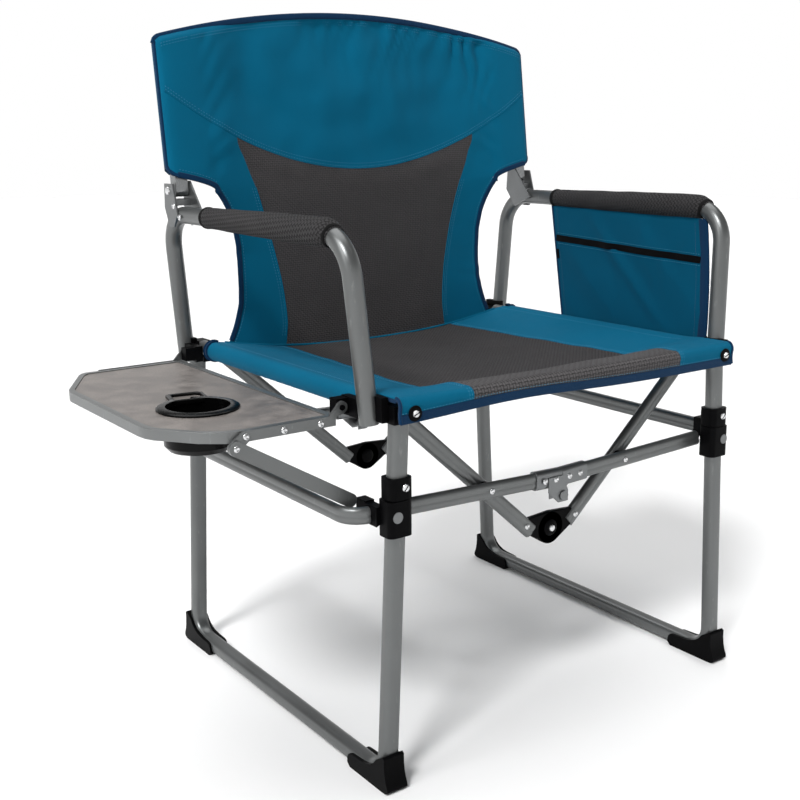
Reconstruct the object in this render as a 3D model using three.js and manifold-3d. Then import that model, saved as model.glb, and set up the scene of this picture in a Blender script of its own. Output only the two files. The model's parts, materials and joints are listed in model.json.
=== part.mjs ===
// Folding director chair with a side table. Millimetres, +Z up, the front of the chair faces -Y, and the
// table is on the sitter's right, at -X. Two side frames are joined by a front and a rear scissor linkage.
import * as THREE from 'three';
import { mergeVertices } from 'three/addons/utils/BufferGeometryUtils.js';
import Module from 'manifold-3d';

const wasm = await Module();
wasm.setup();

// ---------------------------------------------------------------- driving dimensions
const GAP = 0.3;                 // clearance left between pieces that touch
const LEFT = -1;                 // side signs, along X
const RIGHT = 1;
const FRONT = -1;                // end signs, along Y
const REAR = 1;
const SIDES = [LEFT, RIGHT];
const ENDS = [FRONT, REAR];

const LEG = { floorX: 277, splay: 0.049, y: 244, width: 22, depth: 18, runnerZ: 12, topZ: 440, bend: 34 };
const ARM = { footX: 280, flare: 0.08, footZ: 425, topZ: 626, radius: 11, bend: 48 };
const ARM_FRONT = { footY: -224.5, topY: -213 };
const ARM_REAR = { footY: 225.5, topY: 222 };
const FOOT = { height: 44, tongue: 64, wall: 3 };
const PAD = { radius: 17, rearY: 115, frontY: -189 };
const SEAT_TUBE = { x: 262, z: 442, radius: 10, endY: 211 };
const CORNER = { bottom: 427, top: 450.5, wall: 3.5 };
const SLIDER = { z: 321, height: 41, wall: 4 };
const COLLAR = { bottomZ: 342.5, height: 24 };
const BAR = { y: 223, height: 20, depth: 11, inboard: 22, tip: 4 };   // inboard: its pivot, from the leg
const V_ARM = { y: 206, height: 20, depth: 12, pivotX: 238, pivotZ: 431, tilt: 42, pin: 4 };
const V_CENTRE_Z = 243;          // the knuckles' hinge, on the centre plane
const CROSSING_X = 111;          // where a half bar crosses its V arm
const BAR_CENTRE_Z = 291;        // the half bars' common hinge, on the centre plane
const RAIL = { x: 305, z: 321, y: 222, bend: 26 };
const SIDE_BAR = { x: 259, z: 337 };
const POST = { x: 292, y: 196, z: 657, width: 17, depth: 16, length: 190, lean: 7 };
const SEAT = {
  frontY: -261, rearY: 196, edgeZ: 453, sag: 18, thickness: 3, hemZ: 428, halfWidth: 270, cornerY: 180,
  sleeveFrontY: -198,
};
const BACK = { halfWidth: 309, edgeTop: 189, crown: 46, edgeBottom: 20, waist: 214, flare: 24, thickness: 4 };
const POCKET = { frontY: -202, rearY: 112, bottom: 444, bellyZ: 540, half: 6, lean: 40 };
const TABLE = {
  innerX: 304, outerX: 494, halfLength: 195, topZ: 432, rim: 8, step: 5, height: 12, chamfer: 52,
};
const CUP = { x: -407, y: -70, flangeRadius: 47, radius: 40, depth: 46, wall: 2.5, lip: 3.4, notch: 12 };
const TABLE_HINGE = { x: -298, z: 440, pin: 3 };
const STRUT = { pivotX: -428, pivotZ: 416, endX: -291, endZ: 334, radius: 8, thickness: 3 };

const legX = (z) => LEG.floorX - LEG.splay * z;
const armX = (z) => ARM.footX + ARM.flare * (z - ARM.footZ);
const radians = THREE.MathUtils.degToRad;

// ---------------------------------------------------------------- materials
const paint = (color, roughness, metalness) => () =>
  new THREE.MeshStandardMaterial({ color, roughness, metalness });
const greyTube = paint(0x717373, 0.42, 0.6);
const lightSteel = paint(0x9a9c9d, 0.35, 0.8);
const blackPlastic = paint(0x141414, 0.45, 0);
const charcoalMesh = paint(0x444144, 0.9, 0);
const tealCloth = paint(0x12628a, 0.85, 0);
const tableBoard = paint(0x968f8a, 0.6, 0);
const tableRim = paint(0x7c7e7e, 0.4, 0.5);

// ---------------------------------------------------------------- solids and booleans
// A closed geometry as a manifold solid, which can be joined and cut.
function solid(geometry) {
  const bare = geometry.clone();
  bare.deleteAttribute('normal');
  bare.deleteAttribute('uv');
  const merged = mergeVertices(bare, 1e-3);
  const triVerts = new Uint32Array(merged.index.array);
  const vertProperties = new Float32Array(merged.attributes.position.array);
  return new wasm.Manifold(new wasm.Mesh({ numProp: 3, vertProperties, triVerts }));
}

function geometryOf(manifold) {
  const { vertProperties, triVerts } = manifold.getMesh();
  const geometry = new THREE.BufferGeometry();
  geometry.setAttribute('position', new THREE.BufferAttribute(vertProperties, 3));
  geometry.setIndex(new THREE.BufferAttribute(triVerts, 1));
  geometry.computeVertexNormals();
  return geometry;
}

const join = (...parts) => geometryOf(parts.map(solid).reduce((a, b) => a.add(b)));
const cut = (body, ...tools) => geometryOf(tools.map(solid).reduce((a, b) => a.subtract(b), solid(body)));

// ---------------------------------------------------------------- basic shapes
const box = (x0, x1, y0, y1, z0, z1) =>
  new THREE.BoxGeometry(Math.abs(x1 - x0), Math.abs(y1 - y0), Math.abs(z1 - z0))
    .translate((x0 + x1) / 2, (y0 + y1) / 2, (z0 + z1) / 2);

// A cylinder along Y, from y0 to y1.
const pinY = (x, z, radius, y0, y1, sides = 16) =>
  new THREE.CylinderGeometry(radius, radius, Math.abs(y1 - y0), sides).translate(x, (y0 + y1) / 2, z);

// A rectangle with round corners, centred on the origin.
function roundedRectangle(width, height, radius) {
  const [w, h] = [width / 2 - radius, height / 2 - radius];
  const shape = new THREE.Shape();
  shape.absarc(w, h, radius, 0, Math.PI / 2);
  shape.absarc(-w, h, radius, Math.PI / 2, Math.PI);
  shape.absarc(-w, -h, radius, Math.PI, Math.PI * 1.5);
  shape.absarc(w, -h, radius, Math.PI * 1.5, Math.PI * 2);
  return shape;
}

// The flat oval tube of the bars and rails: round edges, and a shallow groove along both flat faces.
function groovedOval(depth, height) {
  const edge = depth / 2;
  const straight = height / 2 - edge;
  const groove = { half: 2.2, deep: 0.9 };
  const shape = new THREE.Shape();
  shape.absarc(0, straight, edge, 0, Math.PI);
  shape.lineTo(-edge, groove.half);
  shape.lineTo(-edge + groove.deep, 0);
  shape.lineTo(-edge, -groove.half);
  shape.absarc(0, -straight, edge, Math.PI, Math.PI * 2);
  shape.lineTo(edge, -groove.half);
  shape.lineTo(edge - groove.deep, 0);
  shape.lineTo(edge, groove.half);
  return shape;
}

function circle(radius) {
  const shape = new THREE.Shape();
  shape.absarc(0, 0, radius, 0, Math.PI * 2);
  return shape;
}

// A shape, or a list of its corners, as a flat plate.
function plate(outline, depth, curveSegments) {
  const shape = Array.isArray(outline)
    ? new THREE.Shape(outline.map(([a, b]) => new THREE.Vector2(a, b)))
    : outline;
  return new THREE.ExtrudeGeometry(shape, { depth, bevelEnabled: false, curveSegments });
}

// A plate with its outline in X and Z, between y0 and y1.
const plateXZ = (outline, y0, y1, curveSegments = 6) =>
  plate(outline, Math.abs(y1 - y0), curveSegments)
    .rotateX(Math.PI / 2).translate(0, Math.max(y0, y1), 0);

// A plate with its outline in Y and Z, between x0 and x1.
const plateYZ = (outline, x0, x1, curveSegments = 6) =>
  plate(outline, Math.abs(x1 - x0), curveSegments)
    .rotateX(Math.PI / 2).rotateZ(Math.PI / 2).translate(Math.min(x0, x1), 0, 0);

// A plate with its outline in X and Y, between z0 and z1.
const plateXY = (outline, z0, z1, curveSegments = 8) =>
  plate(outline, z1 - z0, curveSegments).translate(0, 0, z0);

// A strip with round ends between two [x, z] points.
function strip([x0, z0], [x1, z1], radius, y0, y1) {
  const angle = Math.atan2(z1 - z0, x1 - x0);
  const shape = new THREE.Shape();
  shape.absarc(x0, z0, radius, angle + Math.PI / 2, angle + Math.PI * 1.5);
  shape.absarc(x1, z1, radius, angle - Math.PI / 2, angle + Math.PI / 2);
  return plateXZ(shape, y0, y1, 8);
}

// A path through corners, each turned by an arc. The section keeps one axis square to the path's plane.
class BentPath extends THREE.Curve {
  constructor(corners, bend, across, arcSteps = 6) {
    super();
    this.across = across.clone().normalize();
    this.points = corners.flatMap((corner, i) => {
      if (i === 0 || i === corners.length - 1) return [corner];
      const before = corners[i - 1].clone().sub(corner).normalize();
      const after = corners[i + 1].clone().sub(corner).normalize();
      const half = before.angleTo(after) / 2;
      const reach = bend / Math.tan(half);
      const centre = before.clone().add(after).normalize().multiplyScalar(bend / Math.sin(half)).add(corner);
      const from = before.clone().multiplyScalar(reach).add(corner).sub(centre);
      const to = after.clone().multiplyScalar(reach).add(corner).sub(centre);
      const axis = from.clone().cross(to).normalize();
      const turn = from.angleTo(to);
      return Array.from({ length: arcSteps + 1 }, (_, k) =>
        from.clone().applyAxisAngle(axis, (turn * k) / arcSteps).add(centre));
    });
  }

  get steps() {
    return this.points.length - 1;
  }

  getSpacedPoints() {
    return this.points;
  }

  computeFrenetFrames() {
    const tangents = this.points.map((_, i, p) => {
      const ahead = p[Math.min(i + 1, p.length - 1)];
      const behind = p[Math.max(i - 1, 0)];
      const first = i > 0 ? p[i].clone().sub(behind).normalize() : new THREE.Vector3();
      const second = i < p.length - 1 ? ahead.clone().sub(p[i]).normalize() : new THREE.Vector3();
      return first.add(second).normalize();
    });
    const binormals = tangents.map(() => this.across.clone());
    const normals = tangents.map((t) => this.across.clone().cross(t).normalize());
    return { tangents, normals, binormals };
  }
}

const sweep = (shape, path, curveSegments = 1) =>
  new THREE.ExtrudeGeometry(shape, { extrudePath: path, steps: path.steps, curveSegments });

// A straight bar in the XZ plane between two [x, z] points, its section's height across it.
function straightBar(section, [x0, z0], [x1, z1], y) {
  const across = new THREE.Vector3(z0 - z1, 0, x1 - x0);
  const ends = [new THREE.Vector3(x0, y, z0), new THREE.Vector3(x1, y, z1)];
  return sweep(section, new BentPath(ends, 0, across), 2);
}

// ---------------------------------------------------------------- the object
const chair = new THREE.Group();

function add(name, geometry, material) {
  const mesh = new THREE.Mesh(geometry, material());
  mesh.name = name;
  chair.add(mesh);
}

const sideName = (s) => (s === LEFT ? 'left' : 'right');
const endName = (e) => (e === FRONT ? 'front' : 'rear');

// ---------------------------------------------------------------- side frames
// Front leg, floor runner and rear leg: one bent tube, leaning in towards the seat.
function legPath(s) {
  const corner = (y, z) => new THREE.Vector3(s * legX(z), y, z);
  const corners = [
    corner(-LEG.y, LEG.topZ), corner(-LEG.y, LEG.runnerZ),
    corner(LEG.y, LEG.runnerZ), corner(LEG.y, LEG.topZ),
  ];
  return new BentPath(corners, LEG.bend, new THREE.Vector3(1, 0, s * LEG.splay));
}

const legFrame = (s, extra = 0) =>
  sweep(roundedRectangle(LEG.depth + 2 * extra, LEG.width + 2 * extra, 7 + extra), legPath(s));

// The armrest hoop, flared outwards, with its two feet beside the tops of the legs.
function armPath(s) {
  const corner = (y, z) => new THREE.Vector3(s * armX(z), y, z);
  const corners = [
    corner(ARM_FRONT.footY, ARM.footZ), corner(ARM_FRONT.topY, ARM.topZ),
    corner(ARM_REAR.topY, ARM.topZ), corner(ARM_REAR.footY, ARM.footZ),
  ];
  return new BentPath(corners, ARM.bend, new THREE.Vector3(1, 0, -s * ARM.flare), 7);
}

const armTube = (s, extra = 0) => sweep(circle(ARM.radius + extra), armPath(s), 7);

// The woven sleeve on the armrest. Its front end follows the tube into the bend.
function armPad(s) {
  const path = armPath(s);
  const rearEnd = new THREE.Vector3(s * armX(ARM.topZ), PAD.rearY, ARM.topZ);
  path.points = [...path.points.filter((p) => p.y > PAD.frontY && p.y < PAD.rearY), rearEnd];
  return cut(sweep(circle(PAD.radius), path, 8), armTube(s, GAP));
}

const seatTube = (s) =>
  new THREE.CylinderGeometry(SEAT_TUBE.radius, SEAT_TUBE.radius, 2 * SEAT_TUBE.endY, 16)
    .translate(s * SEAT_TUBE.x, 0, SEAT_TUBE.z);

const seatTubeClearance = (s) =>
  new THREE.CylinderGeometry(SEAT_TUBE.radius + GAP, SEAT_TUBE.radius + GAP, 2 * (SEAT_TUBE.endY + GAP), 16)
    .translate(s * SEAT_TUBE.x, 0, SEAT_TUBE.z);

// Black moulding that ties the top of a leg, the foot of the arm hoop and the end of the seat tube. On the
// table's side it also carries the table's hinge.
function cornerBracket(s, e) {
  const { wall, bottom, top } = CORNER;
  const leg = legX(LEG.topZ);
  const legHalf = LEG.width / 2 + wall;
  const [legFront, legRear] = [LEG.y + LEG.depth / 2, LEG.y - LEG.depth / 2];
  const armFoot = armX(ARM.footZ);
  const [seatX, pivotX, pivotZ] = [SEAT_TUBE.x, V_ARM.pivotX, V_ARM.pivotZ];
  const besideArm = V_ARM.y + V_ARM.depth / 2 + GAP;
  const pieces = [
    box(s * (leg - legHalf), s * (leg + legHalf), e * (legFront + wall), e * (legRear - wall), bottom, top),
    box(s * (leg - wall), s * (armFoot - 1), e * (LEG.y + 2), e * (besideArm + GAP), bottom + 2, top + 5.5),
    pinY(s * seatX, SEAT_TUBE.z, SEAT_TUBE.radius + wall, e * legRear, e * V_ARM.y, 20),
    box(s * (pivotX - 10), s * seatX, e * (besideArm + 10), e * besideArm, pivotZ - 10, pivotZ + 10),
    pinY(s * pivotX, pivotZ, V_ARM.pin, e * (besideArm + 8), e * (V_ARM.y - V_ARM.depth / 2 - 2)),
  ];
  if (s === LEFT) pieces.push(...tableHingeLug(e));
  const underCloth = SEAT.edgeZ - SEAT.thickness - 3.2;
  const clothEdge = SEAT.halfWidth + 2 * GAP;
  const clothRoom = box(
    s * (pivotX - 40), s * clothEdge, e * (legFront + 30), e * SEAT.cornerY, underCloth, top + 30);
  return cut(join(...pieces), legFrame(s, GAP), armTube(s, GAP), seatTubeClearance(s), clothRoom);
}

// The block that the table's gooseneck pivots on, and the web that joins it to the corner bracket.
function tableHingeLug(e) {
  const { x, z, pin } = TABLE_HINGE;
  const outer = TABLE.halfLength;
  const inner = outer - 14;
  return [
    box(x + 10, x + 20, e * inner, e * (V_ARM.y + 10), z - 11, z + 10),
    box(x - 5, x + 20, e * inner, e * outer, z - 8, z + 9),
    pinY(x, z, pin, e * (outer - 4), e * (outer + 5), 12),
  ];
}

// Black shoe under a bottom bend of the leg frame: a toe at the corner, and cheeks that hug the bend and the
// runner and leave the top of the tube bare.
function foot(s, e) {
  const { height, tongue, wall } = FOOT;
  const x = legX(LEG.runnerZ);
  const top = LEG.runnerZ + LEG.depth / 2;
  const end = LEG.y - tongue;
  const outline = new THREE.Shape();
  outline.moveTo(e * (end + 5), 0);
  outline.lineTo(e * (LEG.y + 8), 0);
  outline.quadraticCurveTo(e * (LEG.y + 22), 0, e * (LEG.y + 19), 8);
  outline.quadraticCurveTo(e * (LEG.y + 12), 20, e * (LEG.y + 13), height - 2);
  outline.lineTo(e * (LEG.y + 10), height);
  outline.lineTo(e * (LEG.y - 3), height - 8);
  outline.quadraticCurveTo(e * (LEG.y - 12), top, e * (LEG.y - 34), top - 2);
  outline.lineTo(e * (end + 8), top - 3);
  outline.quadraticCurveTo(e * (end - 1), top - 4, e * end, 5);
  const half = LEG.width / 2 + wall;
  const body = plateYZ(outline, s * (x - half), s * (x + half), 4);
  return cut(body, legFrame(s, GAP));
}

// Fixed black collar above a slider: a band around the leg.
function collar(s, e) {
  const z = COLLAR.bottomZ;
  const x = legX(z + COLLAR.height / 2);
  const section = roundedRectangle(LEG.width + 8, LEG.depth + 8, 8);
  const band = plateXY(section, z, z + COLLAR.height, 2).translate(s * x, e * LEG.y, 0);
  return cut(band, legFrame(s, GAP));
}

// Two plates and a saddle block that carry the back post on the armrest.
function postBracket(s) {
  const [y, z] = [POST.y, POST.z];
  const outerPlate = [
    [y - 12, z + 9], [y + 12, z + 9], [y + 14, z - 22], [y + 2, z - 46], [y - 12, z - 46], [y - 24, z - 30],
  ];
  const gusset = [[y - 8, z + 12], [y + 9, z + 12], [y + 12, z - 20], [y - 8, z - 46], [y - 44, z - 30]];
  const sheet = 2.5;
  const spread = ARM.radius + 1;
  const centre = (armX(ARM.topZ) + POST.x) / 2;
  const saddleTop = z - POST.depth / 2 - 3;
  const pieces = [
    plateYZ(outerPlate, s * (centre + spread), s * (centre + spread + sheet)),
    plateYZ(gusset, s * (centre - spread), s * (centre - spread - sheet)),
    box(s * (centre - spread - 1), s * (centre + spread + 1), y - 12, y + 11, saddleTop - 8, saddleTop),
  ];
  return cut(join(...pieces), armTube(s, GAP));
}

// ---------------------------------------------------------------- sliders and side rails
// Black slider that runs on a leg. Its sockets take the side rail, and it has the clevis of the half bar.
function slider(s, e) {
  const { z, height } = SLIDER;
  const x = legX(z);
  const half = LEG.width / 2 + SLIDER.wall + 1;
  const section = roundedRectangle(2 * half, LEG.depth + 2 * SLIDER.wall - 0.4, 7);
  const body = plateXY(section, z - height / 2, z + height / 2, 2).translate(s * x, e * LEG.y, 0);
  if (s === RIGHT) {
    return cut(join(body, barSocket(s, e)), sideBar(GAP), legFrame(s, GAP), collarRoom(s, e));
  }
  return cut(join(body, railSocket(s, e, x + half), strutStop(s, e, x)), sideRail(GAP), legFrame(s, GAP));
}

// Socket of the U-shaped rail, outboard of a left slider. Its inner end is cut away below, so that the half
// bar's tip passes under it.
function railSocket(s, e, face) {
  const [top, bottom] = [RAIL.z + 12.5, RAIL.z - 13];
  const outline = [
    [face - 6, top], [face + 5, top], [face + 5, bottom + 3], [face - 6, bottom + 8],
  ].map(([x, z]) => [s * x, z]);
  return plateXZ(outline, e * (RAIL.y + 16), e * (RAIL.y - 8));
}

// Wedge behind a left slider that a strut's end comes to rest against.
const strutStop = (s, e, legCentre) =>
  box(s * (legCentre + 8), s * (-STRUT.endX - STRUT.radius - 1.5),
    e * (RAIL.y - 7), e * (TABLE.halfLength + 2), RAIL.z + 2, RAIL.z + 14);

// Socket of the straight bar, inboard of a right slider.
const barSocket = (s, e) =>
  box(s * (SIDE_BAR.x - 9), s * (SIDE_BAR.x + 9), e * (LEG.y - 11), e * (BAR.y - 4),
    SIDE_BAR.z - 11.5, SIDE_BAR.z + 13);

// Room for the fixed collar above a right slider's socket.
function collarRoom(s, e) {
  const x = legX(COLLAR.bottomZ);
  const half = LEG.width / 2 + 6;
  return box(s * (x - half), s * (x + half), e * (LEG.y + 20), e * (LEG.y - LEG.depth / 2 - 4.4),
    COLLAR.bottomZ - 0.8, COLLAR.bottomZ + COLLAR.height);
}

// The U-shaped rail outside the left legs: it joins the two left sliders, and the table's struts rest on it.
function sideRail(extra = 0) {
  const { x, y, z, bend } = RAIL;
  const start = legX(z) + LEG.width / 2 + 6;
  const corners = [[start, -y], [x, -y], [x, y], [start, y]]
    .map(([outboard, along]) => new THREE.Vector3(-outboard, along, z));
  const path = new BentPath(corners, bend, new THREE.Vector3(0, 0, 1));
  return sweep(groovedOval(BAR.depth + 2 * extra, BAR.height + 2 * extra), path, 2);
}

// The straight bar between the two right sliders.
function sideBar(extra = 0) {
  const { x, z } = SIDE_BAR;
  const endY = LEG.y - 14;
  const ends = ENDS.map((e) => new THREE.Vector3(x, e * endY, z));
  const path = new BentPath(ends, 0, new THREE.Vector3(0, 0, 1));
  return sweep(groovedOval(BAR.depth + 2 * extra, BAR.height + 2 * extra), path, 2);
}

// ---------------------------------------------------------------- scissor linkages
const tilt = radians(V_ARM.tilt);
const V_LENGTH = V_ARM.pivotX * Math.cos(tilt) + (V_ARM.pivotZ - V_CENTRE_Z) * Math.sin(tilt);
const CROSSING_Z = V_ARM.pivotZ - (V_ARM.pivotX - CROSSING_X) * Math.tan(tilt);
const KNUCKLE = { radius: 20, thickness: 16, sleeveFrom: 38, sleeveTo: 22, half: 12.5, pin: 5, head: 7.5 };

// A point down the V arm from its pivot, and `up` square to the arm.
const alongV = (s, distance, up = 0) => [
  s * (V_ARM.pivotX - Math.cos(tilt) * distance - Math.sin(tilt) * up),
  V_ARM.pivotZ - Math.sin(tilt) * distance + Math.cos(tilt) * up,
];

// One arm of the V: from its pivot under the seat's corner down into the knuckle.
function vArm(s, e, extra = 0) {
  const section = groovedOval(V_ARM.depth + 2 * extra, V_ARM.height + 2 * extra);
  return straightBar(section, alongV(s, -8), alongV(s, V_LENGTH - KNUCKLE.sleeveTo - 5), e * V_ARM.y);
}

function drilledVArm(s, e) {
  const { y, depth, pin, pivotX, pivotZ } = V_ARM;
  return cut(vArm(s, e), pinY(s * pivotX, pivotZ, pin + GAP, e * (y - depth), e * (y + depth)));
}

// Black knuckle on the arm's lower end. The left ones have the outer disc of the centre hinge and its rivet,
// the right ones the inner disc.
function knuckle(s, e) {
  const { radius, thickness, sleeveFrom, sleeveTo, half, pin } = KNUCKLE;
  const [outer, inner] = [V_ARM.y + thickness / 2, V_ARM.y - thickness / 2];
  const disc = s === LEFT ? [outer, V_ARM.y + GAP] : [V_ARM.y - GAP, inner];
  const [from, to] = [V_LENGTH - sleeveFrom, V_LENGTH - sleeveTo];
  const sleeve = plateXZ(
    [alongV(s, from, half), alongV(s, to, half), alongV(s, to, -half), alongV(s, from, -half)],
    e * outer, e * inner);
  const web = plateXZ(
    [alongV(s, to, 0.9 * half), alongV(s, from), alongV(s, V_LENGTH), [0, V_CENTRE_Z]],
    e * disc[0], e * disc[1]);
  const round = pinY(0, V_CENTRE_Z, radius, e * disc[0], e * disc[1], 20);
  const body = cut(join(round, web, sleeve), vArm(s, e, GAP));
  if (s === LEFT) return join(body, ...knuckleRivet(e, outer, inner));
  return cut(body, pinY(0, V_CENTRE_Z, pin + GAP, e * (outer + 5), e * (inner - 5)));
}

// The rivet through both discs, with a broad head on both sides.
const knuckleRivet = (e, outer, inner) => [
  pinY(0, V_CENTRE_Z, KNUCKLE.pin, e * outer, e * (inner - 1)),
  pinY(0, V_CENTRE_Z, KNUCKLE.head, e * (outer - 1), e * (outer + 2.5)),
  pinY(0, V_CENTRE_Z, KNUCKLE.head, e * (inner - GAP), e * (inner - 2.5)),
];

// The line of a half bar: from its slider through the crossing to the centre plane.
const BAR_END_X = legX(SLIDER.z) - BAR.inboard;
const barSlope = (CROSSING_Z - SLIDER.z) / (BAR_END_X - CROSSING_X);
const barZ = (x) => CROSSING_Z + barSlope * (CROSSING_X - x);
const SLEEVE = { from: 0.5, to: 42, wall: 1.5 };
const LUG = { sheet: 1.5, pin: 4, head: 6.5 };

function halfBar(s, e, extra = 0) {
  const section = groovedOval(BAR.depth + 2 * extra, BAR.height + 2 * extra);
  const tip = BAR_END_X + BAR.tip;
  return straightBar(section, [s * tip, barZ(tip)], [s, barZ(1)], e * BAR.y);
}

// Near and far face, along Y, of a lug of the half bars' common hinge: the left ones are outside.
function lugFaces(s) {
  const sleeveHalf = BAR.depth / 2 + SLEEVE.wall;
  const near = BAR.y - s * (sleeveHalf + GAP);
  return [near, near - s * LUG.sheet];
}

// Sheet steel bracket around the inner end of a half bar, with the lug of the common hinge below it.
function barBracket(s, e) {
  const sleeveHalf = BAR.depth / 2 + SLEEVE.wall;
  const section = roundedRectangle(2 * sleeveHalf, BAR.height + 2 * SLEEVE.wall, 5);
  const sleeve = straightBar(
    section, [s * SLEEVE.to, barZ(SLEEVE.to)], [s * SLEEVE.from, barZ(SLEEVE.from)], e * BAR.y);
  const hub = BAR_CENTRE_Z;
  const top = barZ(0) + 4;
  const lug = [
    [s * 24, top], [s * 24, hub + 7], [s * 8, hub - 8], [-s * 8, hub - 8], [-s * 8, hub + 6], [s, top],
  ];
  const weld = [[s * 22, top - 1], [s * 22, hub + 11], [s * 3, hub + 11], [s * 3, top - 1]];
  const [near, far] = lugFaces(s);
  const pieces = [
    sleeve,
    plateXZ(lug, e * far, e * near),
    plateXZ(weld, e * (near - s * LUG.sheet / 2), e * (near + s * 1.1)),
  ];
  const pinHole = pinY(0, hub, LUG.pin + GAP, e * (BAR.y + 20), e * (BAR.y - 20));
  return cut(join(...pieces), halfBar(s, e, GAP), pinHole);
}

// The pin of the half bars' common hinge, with a head beyond each lug.
function barPin(e) {
  const outer = lugFaces(LEFT)[1];
  const inner = lugFaces(RIGHT)[1];
  return join(
    pinY(0, BAR_CENTRE_Z, LUG.pin, e * (outer + 1), e * (inner - 1)),
    pinY(0, BAR_CENTRE_Z, LUG.head, e * (outer + GAP), e * (outer + 2.3)),
    pinY(0, BAR_CENTRE_Z, LUG.head, e * (inner - GAP), e * (inner - 1.6)),
  );
}

// ---------------------------------------------------------------- back posts
// Square post in its own frame: pivot at the origin, upright along Z. Only its front bottom corner is round,
// so it folds forwards and can't lean back.
function backPost(s) {
  const half = POST.depth / 2;
  const outline = new THREE.Shape();
  outline.absarc(0, 0, half, Math.PI, Math.PI * 1.5);
  outline.lineTo(half, -half);
  outline.lineTo(half, POST.length);
  outline.lineTo(-half, POST.length);
  return plateYZ(outline, -POST.width / 2, POST.width / 2)
    .rotateX(radians(-POST.lean)).translate(s * POST.x, POST.y, POST.z);
}

// ---------------------------------------------------------------- cloth
// The seat: a sling that sags between two sleeves on the seat tubes, with a flap over the front corners.
function seatSling() {
  const half = SEAT_TUBE.x;
  const steps = 10;
  const points = [];
  for (let i = 0; i <= steps; i++) {
    const x = -half + (2 * half * i) / steps;
    points.push([x, SEAT.edgeZ - SEAT.sag * (1 - (x / half) ** 2)]);
  }
  const under = points.map(([x, z]) => [x, z - SEAT.thickness]).reverse();
  const sling = plateXZ([...points, ...under], SEAT.frontY, SEAT.rearY);
  const sleeves = SIDES.map((s) =>
    pinY(s * SEAT_TUBE.x, SEAT_TUBE.z, SEAT_TUBE.radius + 2.5, SEAT.sleeveFrontY, SEAT.cornerY + 3, 20));
  const flapTop = SEAT.edgeZ - 2;
  const flap = plateXZ([
    [-SEAT.halfWidth, flapTop], [-SEAT.halfWidth, SEAT.hemZ], [0, SEAT.hemZ + 6], [SEAT.halfWidth, SEAT.hemZ],
    [SEAT.halfWidth, flapTop], [0, flapTop - SEAT.sag / 2],
  ], SEAT.frontY - 2, SEAT.frontY + 1.2);
  const corners = SIDES.map((s) =>
    box(s * (half - 1), s * SEAT.halfWidth, SEAT.frontY, SEAT.sleeveFrontY,
      SEAT.edgeZ - SEAT.thickness, SEAT.edgeZ));
  const tubes = SIDES.map((s) => seatTubeClearance(s));
  return cut(join(sling, flap, ...sleeves, ...corners), ...tubes);
}

// The lower back: from the seat's rear edge up to the height of the posts' pivots, narrowest at mid height.
function lowerBackSling() {
  const [bottom, top] = [SEAT.edgeZ + 1.5, POST.z - 3];
  const steps = 6;
  const right = Array.from({ length: steps + 1 }, (_, i) => {
    const t = i / steps;
    return [BACK.waist + BACK.flare * (2 * t - 1) ** 2, bottom + (top - bottom) * t];
  });
  const left = right.map(([x, z]) => [-x, z]).reverse();
  return plateXZ([...right, ...left], POST.y + 2, POST.y + 2 + BACK.thickness);
}

// The upper back: a panel with a crowned top edge and a sleeve over each post, all leaning with the posts.
function upperBackSling() {
  const { halfWidth, edgeTop, crown, edgeBottom, thickness } = BACK;
  const neck = BACK.waist + BACK.flare - 2;
  const shape = new THREE.Shape();
  shape.moveTo(-halfWidth, edgeBottom);
  shape.lineTo(-halfWidth + 40, edgeBottom - 4);
  shape.quadraticCurveTo(-neck, edgeBottom - 6, -neck, GAP);
  shape.lineTo(neck, GAP);
  shape.quadraticCurveTo(neck, edgeBottom - 6, halfWidth - 40, edgeBottom - 4);
  shape.lineTo(halfWidth, edgeBottom);
  shape.lineTo(halfWidth, edgeTop);
  shape.quadraticCurveTo(0, edgeTop + 2 * crown, -halfWidth, edgeTop);
  const panel = plateXZ(shape, 2, 2 + thickness, 4);
  const [postHalf, depthHalf] = [POST.width / 2, POST.depth / 2];
  const wall = 3;
  const slack = 0.5;
  const sleeves = SIDES.map((s) =>
    box(s * (POST.x - postHalf - wall), s * halfWidth,
      -depthHalf - wall, depthHalf + wall, edgeBottom, edgeTop));
  const rooms = SIDES.map((s) =>
    box(s * (POST.x - postHalf - slack), s * (POST.x + postHalf + slack), -depthHalf - slack,
      depthHalf + slack, -5, POST.length + slack));
  return cut(join(panel, ...sleeves), ...rooms).rotateX(radians(-POST.lean)).translate(0, POST.y, POST.z);
}

// The pocket that hangs under the right armrest, in the plane of the flared hoop. Its front edge follows the
// hoop's bend, and its rear edge leans forward towards the bottom.
function sidePocket() {
  const { bottom, bellyZ, half, frontY, rearY, lean } = POCKET;
  const top = ARM.topZ - PAD.radius - 1.5;
  const centre = (z) => armX(z) - 2;
  const section = [
    [centre(top) - half / 2, top], [centre(top) + half / 2, top], [centre(bellyZ) + half, bellyZ],
    [centre(bottom) + half / 2, bottom], [centre(bottom) - half / 2, bottom], [centre(bellyZ) - half, bellyZ],
  ];
  const bend = [[frontY - 1, top - lean], [frontY - 1, top + 1], [frontY + 0.75 * lean, top + 1]];
  const rear = [[rearY + 1, top], [rearY + 1, bottom - 1], [rearY - lean, bottom - 1]];
  const side = armX(ARM.topZ);
  const corners = [bend, rear].map((outline) => plateYZ(outline, side - 40, side + 20));
  return cut(plateXZ(section, frontY, rearY), ...corners);
}

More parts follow.
